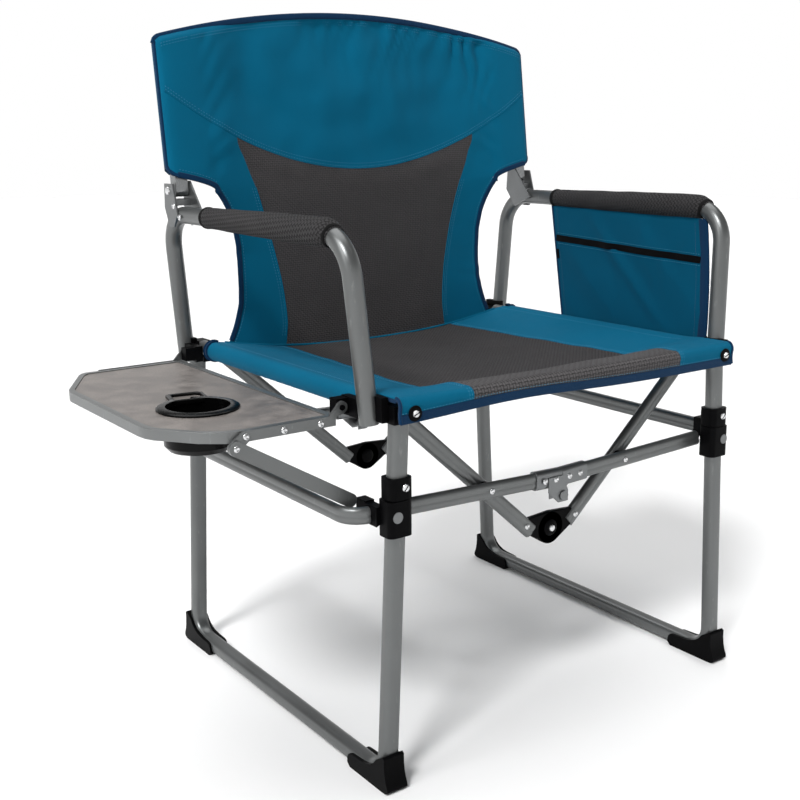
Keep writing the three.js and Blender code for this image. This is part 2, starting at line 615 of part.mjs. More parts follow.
// ---------------------------------------------------------------- side table
function tableOutline(inset) {
  const { innerX, outerX, halfLength, chamfer } = TABLE;
  const [inner, outer, end] = [-innerX - inset, -outerX + inset, halfLength - inset];
  const c = chamfer - inset * 0.6;
  const shape = new THREE.Shape();
  shape.moveTo(inner, -end);
  shape.lineTo(inner, end);
  shape.lineTo(outer + c * 1.1, end);
  shape.quadraticCurveTo(outer + c, end, outer + c * 0.85, end - c * 0.2);
  shape.lineTo(outer + c * 0.1, end - c * 1.6);
  shape.quadraticCurveTo(outer, end - c * 1.8, outer, end - c * 2);
  shape.lineTo(outer, -end + c * 1.7);
  shape.quadraticCurveTo(outer, -end + c * 1.3, outer + c * 0.3, -end + c);
  shape.quadraticCurveTo(outer + c * 0.9, -end, outer + c * 1.6, -end);
  return shape;
}

// Aluminium edge frame of the table, with a step that the board lies on.
function tableRimFrame() {
  const { topZ: z, height, rim, step } = TABLE;
  const whole = plateXY(tableOutline(0), z - height, z, 3);
  const window = plateXY(tableOutline(rim + step), z - height - 1, z + 1, 3);
  const seat = plateXY(tableOutline(rim), z - step, z + 1, 3);
  return cut(whole, window, seat);
}

function tableBoardPanel() {
  const { topZ: z, rim, step } = TABLE;
  const board = plateXY(tableOutline(rim + GAP), z - step + GAP, z - 1, 3);
  const cupHole = new THREE.CylinderGeometry(CUP.radius + GAP, CUP.radius + GAP, 4 * step, 24)
    .rotateX(Math.PI / 2).translate(CUP.x, CUP.y, z);
  return cut(board, cupHole);
}

// Cup holder: a turned cup with a flange on the board, and a notch in one side for a mug's handle.
function cupHolder() {
  const { x, y, radius, flangeRadius, depth, wall, lip, notch } = CUP;
  const top = TABLE.topZ - 1 + GAP;
  const inside = radius - wall;
  const profile = [
    [0, -depth], [radius - 5, -depth], [radius, -depth + 6], [radius, 0], [flangeRadius, 0],
    [flangeRadius, lip / 2], [flangeRadius - 3, lip], [inside - 1, lip], [inside, 0],
    [inside, -depth + 7], [inside - 4, -depth + wall], [0, -depth + wall],
  ].map(([r, z]) => new THREE.Vector2(r, z));
  const cup = new THREE.LatheGeometry(profile, 24).rotateX(Math.PI / 2).translate(x, y, top);
  const handleRoom = box(x - notch, x + notch, y + radius - 9, y + radius + 9, top - 30, top + 2 * lip);
  return cut(cup, handleRoom);
}

// Steel arm along one end of the table: it carries the strut's pivot and ends in the hinge gooseneck.
function tableArm(e) {
  const [top, bottom] = [TABLE.topZ + 0.5, TABLE.topZ - 11];
  const near = TABLE.halfLength + GAP;
  const far = near + STRUT.thickness;
  const { x, z, pin } = TABLE_HINGE;
  const eye = pin + 4;
  const outline = new THREE.Shape();
  outline.absarc(STRUT.pivotX, STRUT.pivotZ, STRUT.radius, Math.PI * 0.85, Math.PI * 1.9);
  outline.lineTo(STRUT.pivotX + 16, bottom);
  outline.lineTo(x - 22, bottom);
  outline.quadraticCurveTo(x - 11, bottom, x - 9, top - 2.5);
  outline.absarc(x, z, eye, Math.PI * 1.6, Math.PI * 2.9);
  outline.quadraticCurveTo(x - 11, top + 5.5, x - 16, top);
  outline.lineTo(STRUT.pivotX + 10, top);
  const hole = pinY(x, z, pin + GAP, e * (near - 5), e * (far + 5), 12);
  return cut(plateXZ(outline, e * near, e * far), hole);
}

// Strut from the table's arm down to the side rail.
function tableStrut(e) {
  const { pivotX, pivotZ, endX, endZ, radius, thickness } = STRUT;
  const near = TABLE.halfLength + 2 * GAP + thickness;
  return strip([pivotX, pivotZ], [endX, endZ], radius, e * near, e * (near + thickness));
}

// ---------------------------------------------------------------- assembly
for (const s of SIDES) {
  const side = sideName(s);
  add(`${side}_leg_frame`, legFrame(s), greyTube);
  add(`${side}_arm_tube`, armTube(s), greyTube);
  add(`${side}_seat_tube`, seatTube(s), greyTube);
  add(`${side}_arm_pad`, armPad(s), charcoalMesh);
  add(`${side}_post_bracket`, postBracket(s), greyTube);
  add(`${side}_back_post`, backPost(s), lightSteel);
  for (const e of ENDS) {
    const corner = `${side}_${endName(e)}`;
    add(`${corner}_corner_bracket`, cornerBracket(s, e), blackPlastic);
    add(`${corner}_foot`, foot(s, e), blackPlastic);
    add(`${corner}_collar`, collar(s, e), blackPlastic);
    add(`${corner}_slider`, slider(s, e), blackPlastic);
    add(`${corner}_v_arm`, drilledVArm(s, e), greyTube);
    add(`${corner}_knuckle`, knuckle(s, e), blackPlastic);
    add(`${corner}_half_bar`, halfBar(s, e), greyTube);
    add(`${corner}_bar_bracket`, barBracket(s, e), lightSteel);
  }
}
for (const e of ENDS) {
  add(`${endName(e)}_bar_pin`, barPin(e), lightSteel);
  add(`${endName(e)}_table_arm`, tableArm(e), greyTube);
  add(`${endName(e)}_table_strut`, tableStrut(e), greyTube);
}
add('left_side_rail', sideRail(), greyTube);
add('right_side_bar', sideBar(), greyTube);
add('seat_sling', seatSling(), tealCloth);
add('lower_back_sling', lowerBackSling(), charcoalMesh);
add('upper_back_sling', upperBackSling(), tealCloth);
add('side_pocket', sidePocket(), tealCloth);
add('table_rim', tableRimFrame(), tableRim);
add('table_board', tableBoardPanel(), tableBoard);
add('cup_holder', cupHolder(), blackPlastic);

// The origin is on the floor, in the middle of the chair's own box.
const bounds = new THREE.Box3().setFromObject(chair);
const middle = bounds.getCenter(new THREE.Vector3());
chair.position.set(-middle.x, -middle.y, -bounds.min.z);

export default chair;
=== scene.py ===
"""The looks of the folding director chair: sewn cloth, smooth tubes, fittings, stage, light and camera.

Lengths are in millimetres from the chair's centre plane, its mid depth and the floor, until at() turns
them into the frame's metres. Left and right are as seen from the front, and the front faces -Y.
"""
import json
import math
import bpy
import bmesh
from mathutils import Matrix, Vector, noise


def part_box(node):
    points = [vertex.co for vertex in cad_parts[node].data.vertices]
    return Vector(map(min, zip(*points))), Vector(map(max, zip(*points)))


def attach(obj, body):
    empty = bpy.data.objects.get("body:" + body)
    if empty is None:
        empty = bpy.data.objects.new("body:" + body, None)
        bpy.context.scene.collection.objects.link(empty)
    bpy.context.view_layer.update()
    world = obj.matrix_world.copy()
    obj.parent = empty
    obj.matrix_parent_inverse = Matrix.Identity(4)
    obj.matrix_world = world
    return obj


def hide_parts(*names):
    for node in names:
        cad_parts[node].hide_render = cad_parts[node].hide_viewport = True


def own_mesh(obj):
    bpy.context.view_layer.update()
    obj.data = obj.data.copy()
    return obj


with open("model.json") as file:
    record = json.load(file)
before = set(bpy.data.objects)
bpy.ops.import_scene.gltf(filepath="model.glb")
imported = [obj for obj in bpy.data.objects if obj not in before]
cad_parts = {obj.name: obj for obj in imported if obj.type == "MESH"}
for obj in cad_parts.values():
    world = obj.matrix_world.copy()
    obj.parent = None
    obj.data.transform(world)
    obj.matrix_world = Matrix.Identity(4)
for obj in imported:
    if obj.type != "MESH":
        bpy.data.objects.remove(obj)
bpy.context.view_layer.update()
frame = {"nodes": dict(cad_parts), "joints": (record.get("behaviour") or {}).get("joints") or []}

MM = 0.001
LEFT, RIGHT = -1, 1
FRONT, REAR = -1, 1
SIDES = (LEFT, RIGHT)
ENDS = (FRONT, REAR)
SIDE_NAME = {LEFT: "left", RIGHT: "right"}
END_NAME = {FRONT: "front", REAR: "rear"}
TO_FRONT, TO_REAR, UP = Vector((0, -1, 0)), Vector((0, 1, 0)), Vector((0, 0, 1))

CENTRE_X = (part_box("left_seat_tube")[0].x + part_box("right_seat_tube")[1].x) / 2


def at(x, y, z):
    """A point in chair millimetres, as a point of the frame."""
    return Vector((CENTRE_X + x * MM, y * MM, z * MM))


def chair_box(node):
    """A CAD node's lowest and highest corners in chair millimetres."""
    low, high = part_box(node)
    shift = Vector((CENTRE_X, 0, 0))
    return (low - shift) / MM, (high - shift) / MM


def outer_y(node, e):
    """Depth of a CAD node's outermost face towards the front or the rear."""
    low, high = chair_box(node)
    return high.y if e == REAR else low.y


def corner_name(s, e):
    return f"{SIDE_NAME[s]}_{END_NAME[e]}"


def add_object(name, data):
    """Puts a mesh, a light or a camera into the scene."""
    thing = bpy.data.objects.new(name, data)
    bpy.context.scene.collection.objects.link(thing)
    return thing


def smooth_step(t):
    t = min(max(t, 0), 1)
    return t * t * (3 - 2 * t)


def lerp(a, b, t):
    return a + (b - a) * t


def spread(low, high, steps):
    """Evenly spaced values from low to high, with both of them."""
    return [lerp(low, high, k / steps) for k in range(steps + 1)]


# ------------------------------------------------------------------ camera
CAMERA_PLACE = at(-948.6, -1225.5, 732.9)
CAMERA_AZIMUTH, CAMERA_ELEVATION, CAMERA_ROLL = -35.304, 13.218, -0.612
CAMERA_LENS = 52.02


def make_camera():
    azimuth, elevation, roll = (math.radians(a) for a in (CAMERA_AZIMUTH, CAMERA_ELEVATION, CAMERA_ROLL))
    back = Vector((
        math.sin(azimuth) * math.cos(elevation),
        -math.cos(azimuth) * math.cos(elevation),
        math.sin(elevation)))
    level = Vector((math.cos(azimuth), math.sin(azimuth), 0))
    rise = back.cross(level)
    right = level * math.cos(roll) + rise * math.sin(roll)
    up = rise * math.cos(roll) - level * math.sin(roll)
    data = bpy.data.cameras.new("camera")
    data.lens = CAMERA_LENS
    camera = add_object("camera", data)
    turn = Matrix((right, up, back)).transposed()
    camera.matrix_world = Matrix.Translation(CAMERA_PLACE) @ turn.to_4x4()
    bpy.context.scene.camera = camera


# ------------------------------------------------------------------ shader building
class Shader:
    """A node material with one Principled surface, and short calls for the nodes that feed it."""

    def __init__(self, name):
        self.material = bpy.data.materials.new(name)
        self.material.use_nodes = True
        self.nodes = self.material.node_tree.nodes
        self.links = self.material.node_tree.links
        self.surface = self.nodes["Principled BSDF"]

    def set(self, **sockets):
        for name, value in sockets.items():
            self.surface.inputs[name.replace("_", " ")].default_value = value
        return self

    def feed(self, socket, value):
        """Links a node's output to an input, or writes a plain value there."""
        if isinstance(value, bpy.types.NodeSocket):
            self.links.new(value, socket)
        else:
            socket.default_value = value

    def math(self, operation, a, b=0.0):
        node = self.nodes.new("ShaderNodeMath")
        node.operation = operation
        self.feed(node.inputs[0], a)
        self.feed(node.inputs[1], b)
        return node.outputs[0]

    def coordinates(self, kind):
        return self.nodes.new("ShaderNodeTexCoord").outputs[kind]

    def parts(self, vector):
        node = self.nodes.new("ShaderNodeSeparateXYZ")
        self.links.new(vector, node.inputs[0])
        return node.outputs

    def scaled(self, vector, factors, turn=0.0):
        node = self.nodes.new("ShaderNodeMapping")
        self.links.new(vector, node.inputs["Vector"])
        node.inputs["Scale"].default_value = factors
        node.inputs["Rotation"].default_value = (0, 0, turn)
        return node.outputs[0]

    def noise(self, vector, scale, detail=3.0, roughness=0.5):
        node = self.nodes.new("ShaderNodeTexNoise")
        self.links.new(vector, node.inputs["Vector"])
        node.inputs["Scale"].default_value = scale
        node.inputs["Detail"].default_value = detail
        node.inputs["Roughness"].default_value = roughness
        return node.outputs[0]

    def ramp(self, value, low, high, at_low=0.0, at_high=1.0):
        node = self.nodes.new("ShaderNodeMapRange")
        self.feed(node.inputs["Value"], value)
        node.inputs["From Min"].default_value = low
        node.inputs["From Max"].default_value = high
        node.inputs["To Min"].default_value = at_low
        node.inputs["To Max"].default_value = at_high
        return node.outputs[0]

    def mix(self, factor, a, b):
        node = self.nodes.new("ShaderNodeMix")
        node.data_type = "RGBA"
        self.feed(node.inputs[0], factor)
        self.feed(node.inputs[6], a)
        self.feed(node.inputs[7], b)
        return node.outputs[2]

    def bump(self, height, distance, strength=1.0):
        """Adds a bump on top of those made before."""
        node = self.nodes.new("ShaderNodeBump")
        node.inputs["Distance"].default_value = distance
        node.inputs["Strength"].default_value = strength
        self.links.new(height, node.inputs["Height"])
        before = self.surface.inputs["Normal"]
        if before.is_linked:
            self.links.new(before.links[0].from_socket, node.inputs["Normal"])
        self.links.new(node.outputs[0], before)
        return self

    def colour(self, value):
        self.feed(self.surface.inputs["Base Color"], value)
        return self

    def roughness(self, value):
        self.feed(self.surface.inputs["Roughness"], value)
        return self


def rgb(red, green, blue, scale=1.0):
    """A display colour of 0 to 255 as a linear shader colour."""
    linear = [((c / 255 + 0.055) / 1.055) ** 2.4 if c > 10 else c / 255 / 12.92 for c in (red, green, blue)]
    return (*[c * scale for c in linear], 1)


# ------------------------------------------------------------------ materials
def painted_tube(name, colour, metallic=0.55):
    """Grey powder-coated aluminium: a fine flake, slow tone changes and faint rub marks."""
    s = Shader(name).set(Metallic=metallic)
    spot = s.coordinates("Object")
    tone = s.noise(spot, 14, 2)
    flake = s.noise(spot, 2600, 2, 0.7)
    rub = s.ramp(s.noise(s.scaled(spot, (1, 1, 0.25)), 180, 5, 0.65), 0.62, 0.72)
    base = s.mix(tone, rgb(*colour, 0.86), rgb(*colour, 1.12))
    s.colour(s.mix(s.math("MULTIPLY", rub, 0.35), base, rgb(*[min(c * 1.35, 255) for c in colour])))
    s.roughness(s.ramp(tone, 0.3, 0.7, 0.31, 0.40))
    s.bump(flake, 0.00006, 0.35)
    return s.material


def brushed_metal(name, colour, roughness=0.3, grain=(1, 1, 0.04)):
    """Bare aluminium or steel with fine lines along its length."""
    s = Shader(name).set(Metallic=0.9)
    spot = s.coordinates("Object")
    lines = s.noise(s.scaled(spot, grain), 1800, 3, 0.6)
    tone = s.noise(spot, 30, 3)
    s.colour(s.mix(s.math("ADD", s.math("MULTIPLY", lines, 0.6), s.math("MULTIPLY", tone, 0.4)),
                   rgb(*colour, 0.75), rgb(*colour, 1.2)))
    s.roughness(s.ramp(lines, 0.3, 0.7, roughness - 0.06, roughness + 0.1))
    s.bump(lines, 0.00004, 0.5)
    return s.material


def moulded_plastic(name, colour, roughness=0.42, grain=0.00007, gloss=0.06):
    """Black moulding with a fine spark-eroded grain, and a few paler scuffs."""
    s = Shader(name).set(Specular_IOR_Level=gloss)
    spot = s.coordinates("Object")
    texture = s.noise(spot, 1500, 2, 0.6)
    scuff = s.ramp(s.noise(spot, 90, 5, 0.7), 0.6, 0.75)
    s.colour(s.mix(s.math("MULTIPLY", scuff, 0.5), rgb(*colour), rgb(*[c + 9 for c in colour])))
    s.roughness(s.ramp(scuff, 0, 1, roughness, roughness + 0.2))
    s.bump(texture, grain, 0.6)
    return s.material


def table_laminate():
    """Mottled grey-brown table board: soft clouds, a fine speckle and a light orange-peel sheen."""
    s = Shader("table_laminate").set(Specular_IOR_Level=0.45)
    spot = s.coordinates("Object")
    cloud = s.noise(spot, 34, 5, 0.62)
    speckle = s.noise(spot, 620, 3, 0.7)
    base = s.mix(s.ramp(cloud, 0.35, 0.65), rgb(98, 93, 90), rgb(128, 122, 118))
    s.colour(s.mix(s.math("MULTIPLY", s.ramp(speckle, 0.5, 0.68), 0.5), base, rgb(72, 67, 64)))
    s.roughness(s.ramp(cloud, 0.3, 0.7, 0.34, 0.5))
    s.bump(speckle, 0.00008, 0.5)
    return s.material


def weave_height(s, across, along, pitch):
    """Height of a plain weave: threads that pass over and under each other on a square of the given pitch."""
    u = s.math("DIVIDE", across, pitch)
    v = s.math("DIVIDE", along, pitch)
    warp = s.math("ABSOLUTE", s.math("SINE", s.math("MULTIPLY", u, math.pi)))
    weft = s.math("ABSOLUTE", s.math("SINE", s.math("MULTIPLY", v, math.pi)))
    cell = s.math("ADD", s.math("FLOOR", u), s.math("FLOOR", v))
    odd = s.math("ABSOLUTE", s.math("MODULO", cell, 2.0))
    over = s.math("MULTIPLY", warp, odd)
    under = s.math("MULTIPLY", weft, s.math("SUBTRACT", 1.0, odd))
    return s.math("ADD", over, under)


def woven(name, colour, pitch, contrast, depth, sheen=0.25, dark=0.72, slub=0.12, slant=0.0):
    """Cloth whose thread runs at `slant` to its UV map, which is in metres on every cloth piece. dark is how
    deep the painted shade goes where the weave is low.
    """
    s = Shader(name).set(Sheen_Weight=sheen, Sheen_Roughness=0.5, Specular_IOR_Level=0.06)
    uv = s.scaled(s.coordinates("UV"), (1, 1, 1), slant)
    u, v, _ = s.parts(uv)
    height = weave_height(s, u, v, pitch)
    spot = s.coordinates("Object")
    tone = s.noise(spot, 11, 4)
    streak = s.noise(s.scaled(uv, (1, 0.06, 1)), 900, 2)
    # The low parts of the weave, between and under the threads, are darker and the raised threads a little
    # lighter: painted shade and light of the weave.
    threads = s.mix(s.ramp(height, 0, 1, 1 - contrast, 1), rgb(*colour, dark), rgb(*colour, 1.06))
    worn = s.mix(s.ramp(tone, 0.3, 0.7, 0, slub * 2), threads, rgb(*colour, 1.35))
    s.colour(s.mix(s.math("MULTIPLY", streak, slub), worn, rgb(*colour, 0.6)))
    s.roughness(s.ramp(height, 0, 1, 0.95, 0.78))
    s.bump(s.noise(spot, 60, 4), 0.0006, 0.25)
    s.bump(height, depth, 0.8)
    return s.material


def thread(name, colour):
    s = Shader(name).set(Roughness=0.7, Sheen_Weight=0.2)
    s.colour(s.mix(s.noise(s.coordinates("Object"), 700, 2), rgb(*colour, 0.8), rgb(*colour, 1.2)))
    return s.material


TUBE = painted_tube("grey_tube", (104, 106, 106), 0.7)
POST = brushed_metal("post_metal", (140, 142, 143), 0.3)
STEEL = brushed_metal("sheet_steel", (118, 120, 121), 0.38, (1, 1, 1))
BRIGHT = brushed_metal("bright_rivet", (214, 215, 216), 0.2, (1, 1, 1))
RIM = painted_tube("table_edge", (112, 114, 114), 0.6)
BLACK = moulded_plastic("black_moulding", (5, 5, 6), gloss=0.04)
GLOSS = moulded_plastic("gloss_black", (4, 4, 4), 0.26, 0.00001, 0.12)
LAMINATE = table_laminate()
TEAL = woven("teal_cloth", (1, 88, 118), 0.0008, 0.35, 0.00012, 0.02)
# The pocket's cloth is the teal cloth made darker: painted shade on the pocket.
SHADED_POCKET_TEAL = woven("pocket_teal_painted_shade", (0, 70, 96), 0.0008, 0.35, 0.00012, 0.02)
MESH = woven("charcoal_mesh", (72, 70, 71), 0.0030, 0.95, 0.0009, 0.05, 0.22, 0.08)
# The seat's charcoal mesh is the back's mesh made darker: painted shade on the sagging seat.
SHADED_SEAT_MESH = woven("seat_mesh_painted_shade", (58, 56, 57), 0.0030, 0.95, 0.0009, 0.05, 0.22, 0.08)
COARSE = woven("coarse_mesh", (84, 82, 83), 0.0046, 1.0, 0.0016, 0.05, 0.04, 0.08)
NAVY = woven("navy_binding", (5, 42, 72), 0.0012, 0.5, 0.0002, 0.08)
STITCH = thread("teal_thread", (34, 118, 152))
DARK_STITCH = thread("navy_thread", (30, 70, 104))
PAD_CLOTH = woven("pad_cloth", (55, 54, 55), 0.0042, 1.0, 0.0016, 0.04, 0.06, 0.1, math.radians(38))
ZIP = woven("black_zip", (5, 5, 6), 0.0014, 0.6, 0.0003, 0.02)


# ------------------------------------------------------------------ mesh building
def mesh_object(name, points, faces, material, sharp=40, uvs=None, face_slots=None):
    """A mesh object with smooth shading, sharp only where faces meet at more than `sharp` degrees."""
    mesh = bpy.data.meshes.new(name)
    mesh.from_pydata(points, [], faces)
    materials = material if isinstance(material, (list, tuple)) else [material]
    for m in materials:
        mesh.materials.append(m)
    if face_slots:
        mesh.polygons.foreach_set("material_index", face_slots)
    if uvs:
        layer = mesh.uv_layers.new(name="cloth")
        for loop in mesh.loops:
            layer.data[loop.index].uv = uvs[loop.vertex_index]
    mesh.polygons.foreach_set("use_smooth", [True] * len(faces))
    mesh.set_sharp_from_angle(angle=math.radians(sharp))
    mesh.validate()
    return add_object(name, mesh)


def rings_to_faces(rings, ring_size, closed=True):
    """Quads between neighbouring rings of points. Closed rings get a cap on both ends, open rows get none."""
    faces = []
    for i in range(rings - 1):
        here, after = i * ring_size, (i + 1) * ring_size
        for j in range(ring_size if closed else ring_size - 1):
            k = (j + 1) % ring_size
            faces.append((here + j, here + k, after + k, after + j))
    if closed:
        faces.append(tuple(reversed(range(ring_size))))
        faces.append(tuple((rings - 1) * ring_size + j for j in range(ring_size)))
    return faces


def loft(name, rings, material, sharp=40, uvs=None):
    """A closed solid through rings of points."""
    points = [p for ring in rings for p in ring]
    return mesh_object(name, points, rings_to_faces(len(rings), len(rings[0])), material, sharp, uvs)


def grid(name, rows, materials, face_slots):
    """A sheet through rows of (point, uv)."""
    points = [p for row in rows for p, _ in row]
    uvs = [uv for row in rows for _, uv in row]
    faces = rings_to_faces(len(rows), len(rows[0]), closed=False)
    return mesh_object(name, points, faces, materials, 60, uvs, face_slots)


def tangents(points):
    result = []
    for i in range(len(points)):
        ahead = points[min(i + 1, len(points) - 1)]
        behind = points[max(i - 1, 0)]
        result.append((ahead - behind).normalized())
    return result


def sweep(name, points, section, across, material, sharp=40):
    """A solid swept along points. section lists pairs of offsets in mm, both square to the line: the first is
    square to `across` as well, the second lies along it."""
    rings = []
    for p, tangent in zip(points, tangents(points)):
        normal = across.cross(tangent).normalized()
        side = tangent.cross(normal).normalized()
        rings.append([p + (normal * a + side * b) * MM for a, b in section])
    run = [0.0]
    for a, b in zip(points, points[1:]):
        run.append(run[-1] + (b - a).length)
    girth = [0.0]
    for a, b in zip(section, section[1:]):
        girth.append(girth[-1] + math.dist(a, b) * MM)
    return loft(name, rings, material, sharp, [(around, along) for along in run for around in girth])


def circle_section(radius, sides=24):
    return [(radius * math.cos(2 * math.pi * k / sides), radius * math.sin(2 * math.pi * k / sides))
            for k in range(sides)]


def rounded_section(width, height, radius, corner_steps=5):
    """A rectangle with round corners: width along the normal, height across."""
    points = []
    for quarter, (sx, sy) in enumerate(((1, 1), (-1, 1), (-1, -1), (1, -1))):
        for k in range(corner_steps + 1):
            turn = math.pi / 2 * (quarter + k / corner_steps)
            points.append((sx * (width / 2 - radius) + radius * math.cos(turn),
                           sy * (height / 2 - radius) + radius * math.sin(turn)))
    return points


def grooved_section(depth, height, groove_half=1.6, groove_deep=0.8):
    """A flat oval with a shallow round groove along both flat faces."""
    edge = depth / 2
    straight = height / 2 - edge
    steps = 8
    half = [(edge * math.cos(math.pi * k / steps), straight + edge * math.sin(math.pi * k / steps))
            for k in range(steps + 1)]
    groove = [(groove_deep * deep - edge, groove_half * wide)
              for deep, wide in ((0, 1.6), (0.5, 0.7), (1, 0), (0.5, -0.7), (0, -1.6))]
    one_side = half + groove
    return one_side + [(-a, -b) for a, b in one_side]


def bent_path(corners, radius, steps=10):
    """Points along straight runs joined by arcs of the given radius in mm."""
    points = [corners[0]]
    for before, corner, after in zip(corners, corners[1:], corners[2:]):
        back = (before - corner).normalized()
        ahead = (after - corner).normalized()
        half = back.angle(ahead) / 2
        centre = corner + (back + ahead).normalized() * (radius * MM / math.sin(half))
        start = corner + back * (radius * MM / math.tan(half)) - centre
        axis = start.cross(corner + ahead * (radius * MM / math.tan(half)) - centre).normalized()
        turn = math.pi - 2 * half
        points += [centre + Matrix.Rotation(turn * k / steps, 3, axis) @ start for k in range(steps + 1)]
    points.append(corners[-1])
    return points


def turned(name, profile, centre, axis, material, sides=24, sharp=35):
    """A solid turned about axis. profile lists (radius, height) in mm, from the axis back to the axis."""
    spin = axis.normalized().to_track_quat("Z", "Y").to_matrix()
    turns = [2 * math.pi * k / sides for k in range(sides)]
    rings = [[centre + spin @ (Vector((r * math.cos(a), r * math.sin(a), h)) * MM) for a in turns]
             for r, h in profile]
    return loft(name, rings, material, sharp)


def object_from(bm, name, materials):
    """Ends a bmesh as an object of the scene."""
    mesh = bpy.data.meshes.new(name)
    bm.to_mesh(mesh)
    bm.free()
    for material in materials:
        mesh.materials.append(material)
    return add_object(name, mesh)


def join(name, pieces):
    """One object out of several, which keep their materials."""
    bm = bmesh.new()
    materials = []
    for piece in pieces:
        offset = len(bm.faces)
        bm.from_mesh(piece.data)
        bm.faces.ensure_lookup_table()
        own = list(piece.data.materials)
        for m in own:
            if m not in materials:
                materials.append(m)
        for face in bm.faces[offset:]:
            face.material_index = materials.index(own[face.material_index])
    for piece in pieces:
        bpy.data.objects.remove(piece)
    return object_from(bm, name, materials)


def place(piece, body, slot, *replaced):
    """Rides the piece on its body, and hides the CAD nodes that it stands for. slot is not used."""
    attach(piece, body)
    if replaced:
        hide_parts(*replaced)
    return piece


# ------------------------------------------------------------------ tubes and bars
LEG = {"width": 22, "depth": 18, "corner": 7, "bend": 34}
ARM = {"radius": 11, "bend": 48, "front_lean": 11.5, "rear_lean": 3.5}
# reach and past are how far a bar goes on beyond its box, at its upper and its lower end
BAR = {"depth": 11, "height": 20, "reach": 9, "past": 0}
V_ARM = {"depth": 12, "height": 20, "reach": 0, "past": 3}
RAIL_BEND = 26
TILT_STEPS = 40


def leg_frame(s):
    """Front leg, floor runner and rear leg, as one bent tube that leans in."""
    node = f"{SIDE_NAME[s]}_leg_frame"
    low, high = chair_box(node)
    half = LEG["width"] / 2
    outer, inner = (abs(low.x), abs(high.x)) if s == LEFT else (high.x, low.x)
    runner = low.z + LEG["depth"] / 2
    y = high.y - LEG["depth"] / 2
    foot_x, top_x = s * (outer - half), s * (inner + half)
    corners = [at(top_x, -y, high.z), at(foot_x, -y, runner), at(foot_x, y, runner), at(top_x, y, high.z)]
    across = (at(top_x, 0, high.z) - at(foot_x, 0, runner)).cross(TO_REAR).normalized()
    section = rounded_section(LEG["depth"], LEG["width"], LEG["corner"])
    tube = sweep(f"{node}_tube", bent_path(corners, LEG["bend"]), section, across, TUBE)
    place(tube, f"{SIDE_NAME[s]}_frame", "frame_tube", node)


def arm_line(s, steps=12):
    """Centre line of the armrest hoop, from its front foot to its rear foot."""
    low, high = chair_box(f"{SIDE_NAME[s]}_arm_tube")
    radius = ARM["radius"]
    foot_x, top_x = (high.x - radius, low.x + radius) if s == LEFT else (low.x + radius, high.x - radius)
    front, rear, top = low.y + radius, high.y - radius, high.z - radius
    corners = [at(foot_x, front, low.z), at(top_x, front + ARM["front_lean"], top),
               at(top_x, rear - ARM["rear_lean"], top), at(foot_x, rear, low.z)]
    return bent_path(corners, ARM["bend"], steps)


def arm_tube(s):
    node = f"{SIDE_NAME[s]}_arm_tube"
    line = arm_line(s)
    across = (line[len(line) // 2] - line[0]).cross(TO_REAR).normalized()
    tube = sweep(f"{node}_hoop", line, circle_section(ARM["radius"], 28), across, TUBE)
    place(tube, f"{SIDE_NAME[s]}_frame", "frame_tube", node)


def bar_ends(node, height, falls_to):
    """Upper and lower end of a straight bar in the XZ plane, from its box and its section's height."""
    low, high = chair_box(node)
    wide, tall = high.x - low.x, high.z - low.z
    tilt = 0.5
    for _ in range(TILT_STEPS):
        tilt = math.atan2(tall - height * math.cos(tilt), wide - height * math.sin(tilt))
    inset = Vector((height / 2 * math.sin(tilt), 0, height / 2 * math.cos(tilt)))
    upper_x, lower_x = low.x + inset.x, high.x - inset.x
    if falls_to == LEFT:
        upper_x, lower_x = lower_x, upper_x
    y = (low.y + high.y) / 2
    return Vector((upper_x, y, high.z - inset.z)), Vector((lower_x, y, low.z + inset.z))


def straight_bar(node, sizes, falls_to, body):
    start, end = bar_ends(node, sizes["height"], falls_to)
    start += (start - end).normalized() * sizes["reach"]
    end += (end - start).normalized() * sizes["past"]
    ends = [at(*start), at(*end)]
    run = (ends[1] - ends[0]).normalized()
    across = run.cross(TO_REAR).normalized()
    section = grooved_section(sizes["depth"], sizes["height"])
    bar = sweep(f"{node}_bar", ends, section, across, TUBE, 50)
    place(bar, body, "frame_tube", node)


def side_rail():
    low, high = chair_box("left_side_rail")
    half = BAR["depth"] / 2
    z = (low.z + high.z) / 2
    x, y = low.x + half, high.y - half
    corners = [at(high.x, -y, z), at(x, -y, z), at(x, y, z), at(high.x, y, z)]
    section = grooved_section(BAR["depth"], BAR["height"])
    rail = sweep("side_rail_tube", bent_path(corners, RAIL_BEND), section, UP, TUBE, 50)
    place(rail, "left_sliders", "frame_tube", "left_side_rail")


def side_bar():
    low, high = chair_box("right_side_bar")
    x, z = (low.x + high.x) / 2, (low.z + high.z) / 2
    section = grooved_section(BAR["depth"], BAR["height"])
    bar = sweep("side_bar_tube", [at(x, low.y, z), at(x, high.y, z)], section, UP, TUBE, 50)
    place(bar, "right_sliders", "frame_tube", "right_side_bar")


def make_tubes():
    for s in SIDES:
        leg_frame(s)
        arm_tube(s)
        for e in ENDS:
            corner = corner_name(s, e)
            straight_bar(f"{corner}_v_arm", V_ARM, -s, f"{SIDE_NAME[s]}_v_arms")
            straight_bar(f"{corner}_half_bar", BAR, -s, f"{SIDE_NAME[s]}_half_bars")
    side_rail()
    side_bar()


